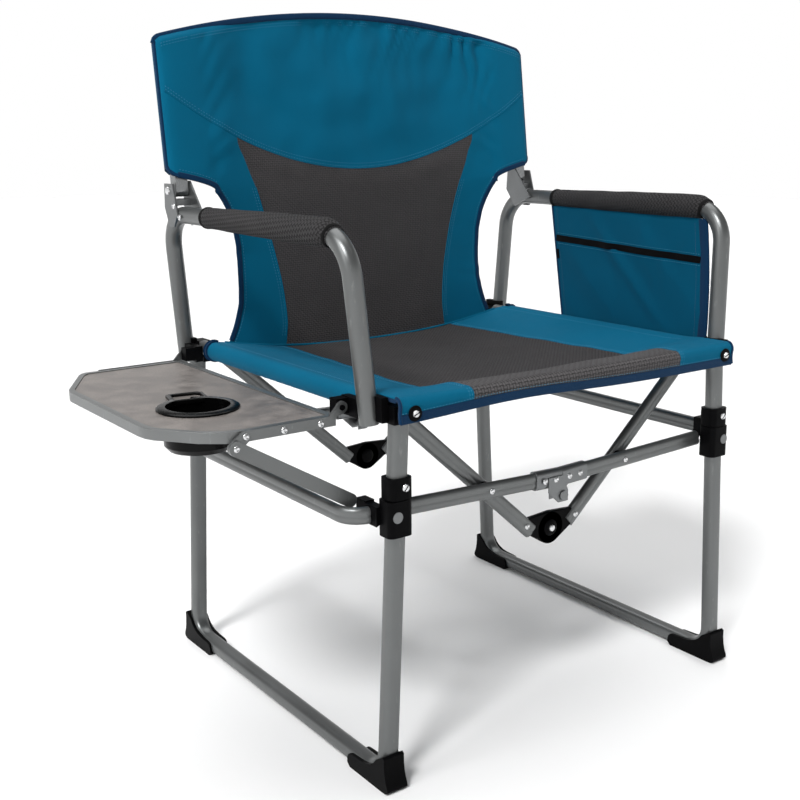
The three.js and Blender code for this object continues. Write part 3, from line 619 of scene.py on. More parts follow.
# ------------------------------------------------------------------ carried-over CAD nodes
def finish_node(node, material, bevel=0.7):
    """Gives a CAD node its material, and rounds its edges a little so that they catch the light."""
    piece = frame["nodes"][node]
    piece.data.materials.clear()
    piece.data.materials.append(material)
    weld = piece.modifiers.new("weld", "WELD")
    weld.merge_threshold = 1e-5
    edge = piece.modifiers.new("edge", "BEVEL")
    edge.width = bevel * MM
    edge.segments = 2
    edge.limit_method = "ANGLE"
    edge.angle_limit = math.radians(32)
    edge.harden_normals = False
    piece.data.polygons.foreach_set("use_smooth", [True] * len(piece.data.polygons))
    normals = piece.modifiers.new("normals", "WEIGHTED_NORMAL")
    normals.keep_sharp = True


def finish_cad_nodes():
    for s in SIDES:
        side = SIDE_NAME[s]
        finish_node(f"{side}_seat_tube", TUBE)
        finish_node(f"{side}_post_bracket", STEEL, 0.5)
        finish_node(f"{side}_back_post", POST, 1.2)
        for e in ENDS:
            corner = corner_name(s, e)
            for part in ("corner_bracket", "foot", "collar", "slider"):
                finish_node(f"{corner}_{part}", BLACK, 1.0)
            finish_node(f"{corner}_bar_bracket", STEEL, 0.5)
    for e in ENDS:
        for part, material in (("bar_pin", STEEL), ("table_arm", TUBE), ("table_strut", TUBE)):
            finish_node(f"{END_NAME[e]}_{part}", material, 0.5)
    finish_node("table_rim", RIM, 0.8)
    finish_node("table_board", LAMINATE, 0.3)
    finish_node("cup_holder", GLOSS, 0.8)


# ------------------------------------------------------------------ the seat's and the back's shape
PIVOT = next(j for j in frame["joints"] if j["name"] == "back_fold")["pos_m"]
PIVOT_Y, PIVOT_Z = PIVOT[1] / MM, PIVOT[2] / MM
LEAN = math.radians(7)
LEAN_EASE = 22
BACK = {"half": 309, "crown_z": 890, "corner_drop": 40, "smile_z": 678, "smile_rise": 109, "wing_z": 679}
WAIST = {"z": 470, "half": 139}
NECK = {"z": 530, "half": 209}
SEAT = {"tube_x": 262, "tube_z": 442, "rear_y": 190, "front_y": -263, "lip_z": 456, "hem_z": 428}
SEAT_TOP_Z = 453.5
SAG = 26
TOP_CORNER = 9


def leaning(x, depth, z):
    """A point of the upper back, which leans with the posts. depth is square to the panel, backwards."""
    rise = z - PIVOT_Z
    eased = rise if rise > LEAN_EASE else (rise + LEAN_EASE) ** 2 / (4 * LEAN_EASE)
    return at(x, PIVOT_Y + eased * math.tan(LEAN) + depth / math.cos(LEAN), z)


def top_z(x):
    """Top edge of the back: a flat crown with a round corner over each post."""
    corner = max(abs(x) - (BACK["half"] - TOP_CORNER), 0) / TOP_CORNER
    rounding = 7 * (1 - math.sqrt(max(1 - corner ** 2, 0)))
    return BACK["crown_z"] - BACK["corner_drop"] * (x / BACK["half"]) ** 2 - rounding


def smile_z(x):
    """The curved seam between the teal top and the charcoal panel, lowest in the middle."""
    return BACK["smile_z"] + BACK["smile_rise"] * (x / BACK["half"]) ** 2


def charcoal_half(z):
    """Half width of the charcoal panel of the back at a height."""
    rise = z - WAIST["z"]
    if rise < 0:
        return WAIST["half"] + 9 * (rise / 42) ** 2
    return WAIST["half"] + 62 * (rise / 248) ** 1.6


def neck_half(z):
    """Half width of the back between the seat and the wings."""
    rise = z - NECK["z"]
    if rise > 0:
        return NECK["half"] + 34 * (rise / 127) ** 3.2
    return NECK["half"] + 20 * (-rise / 80) ** 2.2


def seat_z(x, y):
    """Height of the seat's top: a sling that sags behind a raised front lip."""
    lip = smooth_step((-160 - y) / 75)
    sag = SAG * (1 - abs(x / SEAT["tube_x"]) ** 2.4)
    low = SEAT_TOP_Z - sag
    return lerp(low, SEAT["lip_z"] - 2 * (1 - (x / SEAT["tube_x"]) ** 2), lip)


def folds(along, depth, reach, pitch, seed):
    """Soft gathers that start at an edge and die out within `reach`: a height from -1 to 1."""
    warp = noise.noise(Vector((along * 0.013, seed, 0))) * 2.4
    wave = math.sin(along / pitch + warp * 3 + seed)
    patch = 0.5 + 0.5 * noise.noise(Vector((along * 0.009, seed + 7.3, 0.4)))
    return wave * patch * math.exp(-depth / reach)


def creases(along, depth, reach, spacing, seed):
    """Narrow ridges that start at an edge, lean and fork a little, and die out within `reach`."""
    warp = noise.noise(Vector((along * 0.016, depth * 0.012, seed))) * 1.5
    ridge = (0.5 + 0.5 * math.cos(2 * math.pi * (along / spacing + warp))) ** 1.7
    patch = smooth_step(0.9 + 0.7 * noise.noise(Vector((along * 0.011, seed + 4.1, 0.7))))
    return ridge * patch * math.exp(-(depth / reach) ** 1.5)


def ripple(x, z, size, seed):
    return noise.noise(Vector((x / size, z / size, seed)))


# ------------------------------------------------------------------ sewing
def binding(name, points, across, width=8.5, thickness=3.4):
    """Folded tape over an edge."""
    section = rounded_section(width, thickness, thickness * 0.46, 3)
    return sweep(name, points, section, across, NAVY, 60)


def seam_roll(name, points, out, radius=0.9):
    """A thin raised line where two cloths meet."""
    return sweep(name, points, circle_section(radius, 8), out, TEAL)


def resample(points, step):
    """Points at equal steps along a polyline."""
    result, carry = [points[0]], 0.0
    for a, b in zip(points, points[1:]):
        length = (b - a).length
        while carry + length >= step:
            a = a + (b - a).normalized() * (step - carry)
            length = (b - a).length
            carry = 0.0
            result.append(a.copy())
        carry += length
    return result


def stitches(name, points, normal, material, pitch=4.2, length=2.9, radius=0.42):
    """A row of short threads that lie on the cloth along a line. normal points out of the cloth."""
    verts, faces = [], []
    spots = resample(points, pitch * MM)
    for a, b in zip(spots, spots[1:]):
        run = (b - a).normalized()
        side = run.cross(normal).normalized()
        out = side.cross(run).normalized()
        middle = (a + b) / 2
        base = len(verts)
        verts += [middle + run * (length / 2 * MM) * k for k in (-1, 1)]
        verts += [middle + away * radius * MM for away in (side, out, -side, -out)]
        for i in range(4):
            j = (i + 1) % 4
            faces.append((base, base + 2 + j, base + 2 + i))
            faces.append((base + 1, base + 2 + i, base + 2 + j))
    return mesh_object(name, verts, faces, material, 80)


# how far the right side travels as the chair folds, and where the cloth is parted and stays with a side
BACK_CUT = 260
SEAT_CUT = 246


def place_cloth(piece, body, slot, *replaced, reach=BACK_CUT):
    """Cloth between the chair's sides: it rides on the left one, with a mesh of its own. reach is not used."""
    place(piece, body, slot, *replaced)
    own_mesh(piece)
    return piece


def thicken(piece, thickness):
    """Gives a sheet a front and a back."""
    layer = piece.modifiers.new("thickness", "SOLIDIFY")
    layer.thickness = thickness * MM
    layer.offset = 0
    layer.use_rim = False


def split_sides(sling, width, cut, thickness, names):
    """Parts a grid at column `cut` from either side, and gives all three parts a thickness."""
    spans = ((0, cut), (cut, width - 1 - cut), (width - 1 - cut, width - 1))
    parts = []
    for name, (first, last) in zip(names, spans):
        bm = bmesh.new()
        bm.from_mesh(sling.data)
        others = [f for f in bm.faces if not all(first <= v.index % width <= last for v in f.verts)]
        bmesh.ops.delete(bm, geom=others, context="FACES")
        parts.append(object_from(bm, name, sling.data.materials))
    bpy.data.objects.remove(sling)
    for part in parts:
        thicken(part, thickness)
    return parts


# ------------------------------------------------------------------ upper back
SLEEVE = {"in_x": 266, "room": 11}
CORNER_RADIUS = 13
SLACK = {"depth": 4.0, "half": 150, "ease": 134}
SMILE_CORNER = 203
NECK_EDGE = 241
ROWS_ABOVE, ROWS_BELOW = 26, 22


def bottom_z(x):
    """Lower edge of the upper back: level over the neck, then up to the wings' lower corners."""
    out = max(abs(x) - NECK_EDGE, 0) / (BACK["half"] - NECK_EDGE)
    hollow = (BACK["wing_z"] - 3 - PIVOT_Z) * min(out * 1.25, 1) ** 0.62
    corner = max(abs(x) - (BACK["half"] - CORNER_RADIUS), 0) / CORNER_RADIUS
    return PIVOT_Z + hollow + 1.1 * CORNER_RADIUS * (1 - math.sqrt(max(1 - corner ** 2, 0)))


def seam_share(x, corner, half, fixed):
    """Moves a column so that the one at `corner` is at `half`, and none from `fixed` outwards moves."""
    if abs(x) <= corner:
        return x * half / corner
    if abs(x) >= fixed:
        return x
    return math.copysign(lerp(half, fixed, (abs(x) - corner) / (fixed - corner)), x)


def sleeve_swell(x, z):
    """1 where a sleeve is round its post, easing to almost flat at its sewn top."""
    return lerp(0.15, 1, smooth_step((top_z(x) + 1 - z) / 7))


def panel_depth(x, z):
    """How far the face of the back is behind the posts' centre line: slack in the middle, proud at a post."""
    over = smooth_step((abs(x) - SLACK["half"]) / SLACK["ease"])
    room = SLEEVE["room"] * sleeve_swell(x, z)
    return lerp(SLACK["depth"], -room, over)


def upper_columns():
    """(x, layer) across the upper back: behind the left post, round it, across the front, and back behind
    the right post. layer is 1 behind the post, -1 in front of it, and between on the side edge."""
    half, inner = BACK["half"], SLEEVE["in_x"]
    left = [(x, 1) for x in (6 - inner, -inner, -270, -276, -288, -300)]
    left += [(-half + 2.4, 0.72), (-half, 0.2), (-half, -0.35), (-half + 2.4, -0.8)]
    left += [(x, -1) for x in (-300, -290, -280, -270)]
    left += [(-BACK_CUT + (BACK_CUT - SMILE_CORNER) * k / 13, -1) for k in range(13)]
    middle = [(-SMILE_CORNER + 2 * SMILE_CORNER * k / 60, -1) for k in range(61)]
    return left + middle + [(-x, layer) for x, layer in reversed(left)]


def wrinkles(x, z):
    """Creases of the upper back: gathers under the top binding and long soft folds across it."""
    fall = max(top_z(x) - z, 0)
    from_side = BACK["half"] - abs(x)
    gathers = 7.0 * creases(x + fall * 0.35, fall, 60, 27, 3.0) * (0.1 + smooth_step((x + 130) / 190))
    side_pulls = 4.5 * creases(z + abs(x) * 0.35, from_side, 75, 38, 9.0)
    soft = 5.0 * ripple(x, z, 95, 2.0) + 3.0 * ripple(x, z, 40, 5.0)
    calm_side = smooth_step((BACK_CUT - 2 - abs(x)) / 26)
    calm_fold = smooth_step((z - PIVOT_Z) / 30)
    return (gathers + side_pulls + soft) * (calm_side * calm_fold * smooth_step((fall - 3) / 9))


def upper_point(x, layer, z):
    """A point of the upper back: on its side edge, behind a post, or on its face."""
    room = SLEEVE["room"] * sleeve_swell(x, z)
    if abs(layer) < 0.9:
        return leaning(x, room * layer, z)
    if layer > 0:
        sewn = panel_depth(x, z) + 1.4
        return leaning(x, lerp(sewn, room, smooth_step((abs(x) - SLEEVE["in_x"] + 4) / 14)), z)
    return leaning(x, panel_depth(x, z) + wrinkles(x, z), z)


def upper_spot(x, i):
    """(x, z) of a column on row i of the upper back. Below the curved seam, the charcoal panel narrows."""
    if i <= ROWS_ABOVE:
        return x, lerp(top_z(x), smile_z(x), i / ROWS_ABOVE)
    t = (i - ROWS_ABOVE) / ROWS_BELOW
    near = lerp(smile_z(x), PIVOT_Z, t)
    half = lerp(SMILE_CORNER, charcoal_half(min(near, 718)), min(t * 3, 1))
    x = seam_share(x, SMILE_CORNER, half, BACK_CUT)
    return x, lerp(smile_z(x), bottom_z(x), t)


def upper_back():
    columns = upper_columns()
    rows, slots = [], []
    for i in range(ROWS_ABOVE + ROWS_BELOW + 1):
        row = []
        for column, layer in columns:
            x, z = upper_spot(column, i)
            row.append((upper_point(x, layer, z), ((x - 50 * (layer + 1)) * MM, z * MM)))
        rows.append(row)
    for i in range(ROWS_ABOVE + ROWS_BELOW):
        for (xa, la), (xb, lb) in zip(columns, columns[1:]):
            inside = max(abs(xa), abs(xb)) <= SMILE_CORNER and la + lb == -2
            slots.append(1 if i >= ROWS_ABOVE and inside else 0)
    whole = grid("whole_back", rows, [TEAL, MESH], slots)
    names = ("left_back_sleeve", "upper_back_panel", "right_back_sleeve")
    left, panel, right = split_sides(whole, len(columns), columns.index((-BACK_CUT, -1)), 1.2, names)
    place(left, "left_post", "teal_cloth")
    place(right, "right_post", "teal_cloth")
    return left, place_cloth(panel, "left_post", "teal_cloth", "upper_back_sling"), right


def back_line(points_xz, depth):
    """Points `depth` mm in front of the face of the upper back."""
    return [leaning(x, panel_depth(x, z) + wrinkles(x, z) - depth, z) for x, z in points_xz]


def back_front():
    """The direction that the upper back faces."""
    return Vector((0, -math.cos(LEAN), math.sin(LEAN)))


def across_trim(low, high):
    """Top binding, its stitches, the curved seam and its double row, from x = low to x = high."""
    xs = spread(low, high, max(round((high - low) / 4), 20))
    sewn = [x for x in xs if abs(x) < BACK["half"] - 4]
    top = [leaning(x, panel_depth(x, top_z(x)) - 0.6, top_z(x) - 1) for x in xs]
    pieces = [binding("top_binding", top, back_front(), 8.5, 4.6)]
    for drop in (9.0, 12.5):
        line = back_line([(x, top_z(x) - drop) for x in sewn], 0.8)
        pieces.append(stitches("top_stitches", line, back_front(), STITCH))
    for rise in (2.2, 6.5):
        line = back_line([(x, smile_z(x) + rise) for x in sewn], 0.8)
        pieces.append(stitches("smile_stitches", line, back_front(), STITCH))
    seam = back_line([(x, smile_z(x) - 0.3) for x in sewn], 0.5)
    pieces.append(seam_roll("smile_seam", seam, back_front()))
    return pieces


def wing_trim(s, inner, outer):
    """Binding and stitches along a wing's lower edge, from x = inner to x = outer."""
    reach = [inner + (outer - inner) * math.sin(math.pi / 2 * k / 24) for k in range(25)]
    under = [leaning(s * x, panel_depth(x, bottom_z(x) + 20) - 0.8, bottom_z(x) + 1) for x in reach]
    if inner < BACK_CUT:
        depth = panel_depth(inner, PIVOT_Z) - 0.8
        under = [leaning(s * (inner - 0.5), depth, PIVOT_Z - drop) for drop in (6, 3, 1)] + under[1:]
    row = [leaning(s * x, panel_depth(x, bottom_z(x) + 20) - 1.4, bottom_z(x) + 8) for x in reach if x < 302]
    return [binding("wing_binding", under, back_front(), 7.5, 3.2),
            stitches("wing_stitches", row, back_front(), STITCH)]


def edge_trim(s):
    """Binding round a wing's lower corner and up the side edge."""
    half = BACK["half"]
    corner = [half - CORNER_RADIUS + (CORNER_RADIUS - 0.6) * math.sin(math.pi / 2 * k / 8) for k in range(9)]
    edge = [leaning(s * x, lerp(-10, -3, k / 8), bottom_z(x) + 0.6) for k, x in enumerate(corner)]
    side, foot, top = half - 0.6, bottom_z(half - 0.6) + 2, top_z(half) + 1
    edge += [leaning(s * side, -3, z) for z in spread(foot, top, 24)]
    return binding("edge_binding", edge, back_front(), 4.2, 8.0)


def upper_trim():
    """Edges and seams of the upper back: the middle ones ride with it, the outer ones stay with a post."""
    half = BACK["half"]
    trims = []
    for s in SIDES:
        pieces = across_trim(*sorted((s * BACK_CUT, s * half))) + [edge_trim(s)]
        pieces += wing_trim(s, BACK_CUT, half - CORNER_RADIUS + 2)
        side = SIDE_NAME[s]
        trims.append(place(join(f"{side}_back_sleeve_trim", pieces), f"{side}_post", "teal_cloth"))
    pieces = across_trim(-BACK_CUT, BACK_CUT)
    for s in SIDES:
        pieces += wing_trim(s, NECK_EDGE, BACK_CUT)
    middle = place_cloth(join("upper_back_trim", pieces), "left_post", "teal_cloth")
    return trims[0], middle, trims[1]


# ------------------------------------------------------------------ lower back
LOWER = {"columns": 84, "rows": 44, "seam": 60 / 84, "foot_z": 445}
REAR_HALF = 240


def lower_edge_z(x):
    """The lower back's bottom edge, sewn to the rear edge of the seat."""
    return seat_z(x, SEAT["rear_y"]) + 1.5


def lower_point(x, z, depth=0.0):
    """A point of the lower back, which continues the upper back's face at the fold and drops to the seat."""
    fall = (PIVOT_Z - z) / (PIVOT_Z - LOWER["foot_z"] + 5)
    belly = 3.0 * math.sin(math.pi * min(max(fall, 0), 1)) * (1 - abs(x / 260) ** 2)
    soft = (1.3 * ripple(x, z, 80, 11.0) + 0.5 * ripple(x, z, 30, 12.0)) * smooth_step(fall * 6)
    pull = 1.2 * folds(z * 1.3 + x * 0.2, abs(neck_half(z) - abs(x)), 26, 12, 5.0) * smooth_step(fall * 5)
    eased = max(z - PIVOT_Z + LEAN_EASE, 0) ** 2 / (4 * LEAN_EASE) * math.tan(LEAN)
    face = lerp(panel_depth(x, PIVOT_Z), 3.0, smooth_step(fall * 1.6)) / math.cos(LEAN)
    y = PIVOT_Y + face - 6.5 * smooth_step(fall) + eased + belly + soft + pull + depth
    return at(x, y, z)


def lower_x(share, z):
    """x at a height, for a column at a share of -1 to 1 across the panel. The inner ones are charcoal."""
    inner, outer, seam = charcoal_half(z), neck_half(z), LOWER["seam"]
    if abs(share) <= seam:
        return share / seam * inner
    return math.copysign(lerp(inner, outer, (abs(share) - seam) / (1 - seam)), share)


def lower_back():
    shares = [-1 + 2 * k / LOWER["columns"] for k in range(LOWER["columns"] + 1)]
    rows, slots = [], []
    for i in range(LOWER["rows"] + 1):
        down = i / LOWER["rows"]
        row = []
        for share in shares:
            x = lower_x(share, lerp(PIVOT_Z, LOWER["foot_z"], down))
            z = lerp(PIVOT_Z, lower_edge_z(x), down)
            row.append((lower_point(x, z), (x * MM, z * MM)))
        rows.append(row)
    for i in range(LOWER["rows"]):
        for a, b in zip(shares, shares[1:]):
            slots.append(1 if max(abs(a), abs(b)) <= LOWER["seam"] + 1e-6 else 0)
    panel = grid("lower_back_panel", rows, [TEAL, MESH], slots)
    thicken(panel, 1.2)
    return place_cloth(panel, "left_frame", "teal_cloth", "lower_back_sling")


def lower_trim():
    """Bindings of the neck, and the seams and stitches beside the charcoal panel."""
    pieces = []
    edge_heights = spread(PIVOT_Z - 0.5, lower_edge_z(REAR_HALF), 50)
    heights = spread(PIVOT_Z - 0.5, LOWER["foot_z"] + 1, 50)
    for s in SIDES:
        side = SIDE_NAME[s]
        edge = [lower_point(s * (neck_half(z) - 0.5), z) for z in edge_heights]
        pieces.append(binding(f"{side}_neck_binding", edge, TO_FRONT, 7.5, 3.4))
        row = [lower_point(s * (neck_half(z) - 7.5), z, -0.8) for z in heights]
        pieces.append(stitches(f"{side}_neck_stitches", row, TO_FRONT, STITCH))
        seam = [lower_point(s * charcoal_half(z), z, -0.6) for z in heights]
        pieces.append(seam_roll(f"{side}_panel_seam", seam, TO_FRONT))
        for out in (2.6, 6.6):
            row = [lower_point(s * (charcoal_half(z) + out), z, -0.8) for z in heights]
            pieces.append(stitches(f"{side}_panel_stitches", row, TO_FRONT, STITCH))
    return place_cloth(join("lower_back_trim", pieces), "left_frame", "teal_cloth")


# ------------------------------------------------------------------ seat
SEAT_TUBE_REACH = 12.0
SLEEVE_FRONT_Y = -196
SLEEVE_REAR_Y = 180
SLEEVE_OUT_X = 266
SEAT_SEAM = 168
ROLL_Y = -204
LIP_RADIUS = 9
LIP_STEPS, FACE_STEPS = 6, 8
SEAT_ROWS = 62
WRAP_END = 240


def seat_charcoal_half(y):
    """Half width of the seat's charcoal panel, which widens towards the front."""
    return lerp(150, 167, smooth_step((SEAT["rear_y"] - y) / 330))


def seat_soft(x, y):
    """Small waves of the seat cloth, pulled towards its side tubes."""
    calm = smooth_step((SEAT["tube_x"] - 8 - abs(x)) / 30)
    pulls = 1.1 * folds(y * 1.1, SEAT["tube_x"] - abs(x), 40, 13, 1.0)
    return calm * (1.6 * ripple(x, y, 75, 21.0) + 0.6 * ripple(x, y, 28, 22.0) + pulls)


def hem_z(x):
    """Lower edge of the seat's front face."""
    return SEAT["hem_z"] + 6.5 * math.exp(-((x + 100) / 130) ** 2)


def front_profile(x):
    """(y, z, inward y, inward z) over the front lip and down the front face."""
    front = SEAT["front_y"]
    centre_y, centre_z = front + LIP_RADIUS, seat_z(x, -250) - LIP_RADIUS
    points = []
    for k in range(1, LIP_STEPS + 1):
        turn = math.pi / 2 * k / LIP_STEPS
        sin, cos = math.sin(turn), math.cos(turn)
        points.append((centre_y - LIP_RADIUS * sin, centre_z + LIP_RADIUS * cos, sin, -cos))
    for k in range(1, FACE_STEPS + 1):
        down = k / FACE_STEPS
        points.append((front + 1.2 * math.sin(math.pi * down), lerp(centre_z, hem_z(x), down), 1, 0))
    return points


def seat_columns():
    """(x, turn) across the seat. turn is the angle round the side tube, in degrees from its top."""
    left = [(-SEAT["tube_x"], turn) for turn in (WRAP_END, 225, 200, 175, 150, 125, 100, 75, 50, 25, 0)]
    left.append((-254, 0))
    left += [(-SEAT_CUT + (SEAT_CUT - SEAT_SEAM) * k / 12, 0) for k in range(12)]
    middle = [(-SEAT_SEAM + 2 * SEAT_SEAM * k / 52, 0) for k in range(53)]
    return left + middle + [(-x, turn) for x, turn in reversed(left)]


def wrap_point(x, turn, y, z, inward):
    """A point of the cloth round the side tube, or folded under itself where it goes on to the front."""
    s = LEFT if x < 0 else RIGHT
    a = math.radians(turn)
    reach = SEAT_TUBE_REACH
    on_tube = Vector((x + s * reach * math.sin(a), y, SEAT["tube_z"] + reach * math.cos(a)))
    share = turn / WRAP_END
    out = 5 * math.sin(math.pi * share ** 0.6) - 10 * max(share - 0.5, 0)
    folded = Vector((x + s * out, y + inward[0] * 2.4 * share, z + inward[1] * 2.4 * share))
    return at(*on_tube.lerp(folded, smooth_step((SLEEVE_FRONT_Y - y) / 7)))


def seat_uv(x, turn, along):
    return (x + math.copysign(turn * 0.2, x)) * MM, along * MM


def top_point(x, turn, share):
    """(point, uv) on the seat's top, at a share of the way from its rear edge to the lip."""
    if turn:
        rear = SLEEVE_REAR_Y
    else:
        rear = lerp(SEAT["rear_y"], SLEEVE_REAR_Y, max(abs(x) - 250, 0) / 12)
    y = lerp(rear, SEAT["front_y"] + LIP_RADIUS, share)
    seam_x = seam_share(x, SEAT_SEAM, seat_charcoal_half(y), SEAT_CUT)
    if turn:
        point = wrap_point(x, turn, y, seat_z(x, y), (0, -1))
    else:
        point = at(seam_x, y, seat_z(seam_x, y) + seat_soft(seam_x, y))
    return point, seat_uv(seam_x, turn, -y)


def face_point(x, turn, k):
    """(point, uv) at step k over the lip and down the front face."""
    seam_x = seam_share(x, SEAT_SEAM, seat_charcoal_half(SEAT["front_y"]), SEAT_CUT)
    y, z, inward_y, inward_z = front_profile(seam_x)[k]
    point = wrap_point(x, turn, y, z, (inward_y, inward_z)) if turn else at(seam_x, y, z)
    return point, seat_uv(seam_x, turn, -SEAT["front_y"] + 2.4 * (k + 1))


def seat():
    columns = seat_columns()
    rows = [[top_point(x, turn, i / SEAT_ROWS) for x, turn in columns] for i in range(SEAT_ROWS + 1)]
    rows += [[face_point(x, turn, k) for x, turn in columns] for k in range(LIP_STEPS + FACE_STEPS)]
    slots = []
    for row in rows[:-1]:
        middle, _ = row[len(columns) // 2]
        cloth = 2 if middle.y < ROLL_Y * MM else 1
        for (xa, ta), (xb, tb) in zip(columns, columns[1:]):
            inside = max(abs(xa), abs(xb)) <= SEAT_SEAM and not ta and not tb
            slots.append(cloth if inside else 0)
    # Slot 1 is the darker seat mesh, which is painted shade on the seat's charcoal panel.
    whole = grid("whole_seat", rows, [TEAL, SHADED_SEAT_MESH, COARSE], slots)
    names = ("left_seat_sleeve", "seat_panel", "right_seat_sleeve")
    left, sling, right = split_sides(whole, len(columns), columns.index((-SEAT_CUT, 0)), 1.4, names)
    place(left, "left_frame", "teal_cloth")
    place(right, "right_frame", "teal_cloth")
    return left, place_cloth(sling, "left_frame", "teal_cloth", "seat_sling", reach=SEAT_CUT), right


def seat_line(points_xy, lift=0.9):
    return [at(x, y, seat_z(x, y) + seat_soft(x, y) + lift) for x, y in points_xy]


def front_line(x, lift=0.9):
    """Over the lip and down the front face at a fixed x, a little proud of the cloth."""
    return [at(x, y - inward_y * lift, z - inward_z * lift) for y, z, inward_y, inward_z in front_profile(x)]


def hem_trim(low, high):
    """Binding and stitches of the front hem, from x = low to x = high."""
    xs = spread(low, high, 60)
    hem = [at(x, SEAT["front_y"] + 0.8, hem_z(x) + 3.8) for x in xs]
    row = [at(x, SEAT["front_y"] - 0.9, hem_z(x) + 10.8) for x in xs]
    return [binding("front_hem", hem, TO_FRONT, 11, 3.4),
            stitches("front_hem_stitches", row, TO_FRONT, STITCH)]


def seat_sleeve_trim(s):
    """Hem, rear binding, corner binding and stitches of the seat round one side tube."""
    side = SIDE_NAME[s]
    pieces = hem_trim(*sorted((s * SEAT_CUT, s * SLEEVE_OUT_X)))
    row = seat_line([(s * (SEAT_CUT + 2), y) for y in spread(SLEEVE_REAR_Y, SLEEVE_FRONT_Y, 40)])
    pieces.append(stitches("sleeve_row", row, UP, STITCH))
    reach, tube_x, tube_z = SEAT_TUBE_REACH + 0.6, SEAT["tube_x"], SEAT["tube_z"]
    turns = [math.radians(turn) for turn in spread(-20, 225, 20)]
    cap = [at(s * (tube_x + reach * math.sin(a)), SLEEVE_REAR_Y - 2, tube_z + reach * math.cos(a))
           for a in turns]
    pieces.append(binding("sleeve_binding", cap, TO_REAR, 2.4, 8))
    edge_x, lip_y = s * (SLEEVE_OUT_X + 0.5), SEAT["front_y"] + LIP_RADIUS
    corner = [at(edge_x, y, SEAT_TOP_Z - 0.9) for y in spread(SLEEVE_FRONT_Y - 8, lip_y, 10)]
    corner += [at(edge_x, y, z) for y, z, _, _ in front_profile(s * SLEEVE_OUT_X)]
    pieces.append(binding("corner_binding", corner, Vector((s, 0, 0)), 5, 3))
    return place(join(f"{side}_seat_sleeve_trim", pieces), f"{side}_frame", "teal_cloth")


def seat_trim():
    """Hem binding, seams and stitches of the seat between its sleeves."""
    rear_y, front_y = SEAT["rear_y"], SEAT["front_y"]
    pieces = hem_trim(-SEAT_CUT, SEAT_CUT)
    ys = spread(rear_y - 6, front_y + LIP_RADIUS, 60)
    for s in SIDES:
        side = SIDE_NAME[s]
        seam = [(s * seat_charcoal_half(y), y) for y in ys]
        pieces.append(seam_roll(f"{side}_seat_seam", seat_line(seam, 0.5), UP))
        for out in (2.6, 6.4):
            row = seat_line([(x + s * out, y) for x, y in seam])
            pieces.append(stitches(f"{side}_seat_stitches", row, UP, STITCH))
            drop = front_line(s * (seat_charcoal_half(front_y) + out))
            pieces.append(stitches(f"{side}_face_stitches", drop, TO_FRONT, STITCH))
    for shift in (0, 4):
        line = seat_line([(x, ROLL_Y + shift) for x in spread(2 - SEAT_SEAM, SEAT_SEAM - 2, 40)])
        pieces.append(stitches("roll_stitches", line, UP, DARK_STITCH))
    rear = [at(x, rear_y - 1, seat_z(x, rear_y) + 1.2) for x in spread(-REAR_HALF, REAR_HALF, 50)]
    pieces.append(seam_roll("rear_seam", rear, UP, 1.6))
    return place_cloth(join("seat_trim", pieces), "left_frame", "teal_cloth", reach=SEAT_CUT)


# ------------------------------------------------------------------ side pocket
POCKET = {"rear_lean": 40, "front_lean": 16}


def pocket_x(z):
    """The pocket's middle plane, which leans out with the arm tube."""
    low, high = chair_box("side_pocket")
    return lerp(low.x + 3, high.x - 5.5, (z - low.z) / (high.z - low.z))


def pocket_edges(t):
    """Front and rear edge of the pocket at a share t from its top to its bottom."""
    low, high = chair_box("side_pocket")
    return low.y + 1 + POCKET["front_lean"] * (1 - t) ** 2, high.y - 1 - POCKET["rear_lean"] * t


def pocket_point(across, t, layer, lift=0.0):
    """across runs from the front edge to the rear, t down. layer is -1 on the face by the seat, 1 outside."""
    low, high = chair_box("side_pocket")
    front, rear = pocket_edges(t)
    y = lerp(front, rear, across)
    z = lerp(high.z + 3 + 8 * across, low.z + 3, t)
    inside = min(max(across, 0), 1)
    belly = math.sin(math.pi * inside) ** 0.6 * math.sin(math.pi * min(max(t * 0.97, 0), 1)) ** 0.7
    slack = creases(y * 0.7 - z * 0.75, 0, 60, 62, 31.0 + layer) + 0.5 * creases(y, t * 140, 120, 45, 35.0)
    return at(pocket_x(z) + layer * (0.9 + 2.6 * belly + 3.8 * slack * belly + lift), y, z)


def pocket():
    count, height = 40, 26
    around = [(k / count, -1) for k in range(count + 1)] + [(1 - k / count, 1) for k in range(1, count)]
    rows = [[pocket_point(a, i / height, layer) for a, layer in around] for i in range(height + 1)]
    uvs = [((a * 0.288 if layer < 0 else 0.6 - a * 0.288), i / height * 0.139)
           for i in range(height + 1) for a, layer in around]
    # The bag takes the darker teal, which is painted shade on the pocket.
    bag = loft("pocket_bag", rows, SHADED_POCKET_TEAL, 50, uvs)
    return place(bag, "right_frame", "teal_cloth", "side_pocket")


def mouth_t(across):
    """Share from the pocket's top to its bottom where the zip runs."""
    return lerp(0.335, 0.30, across)


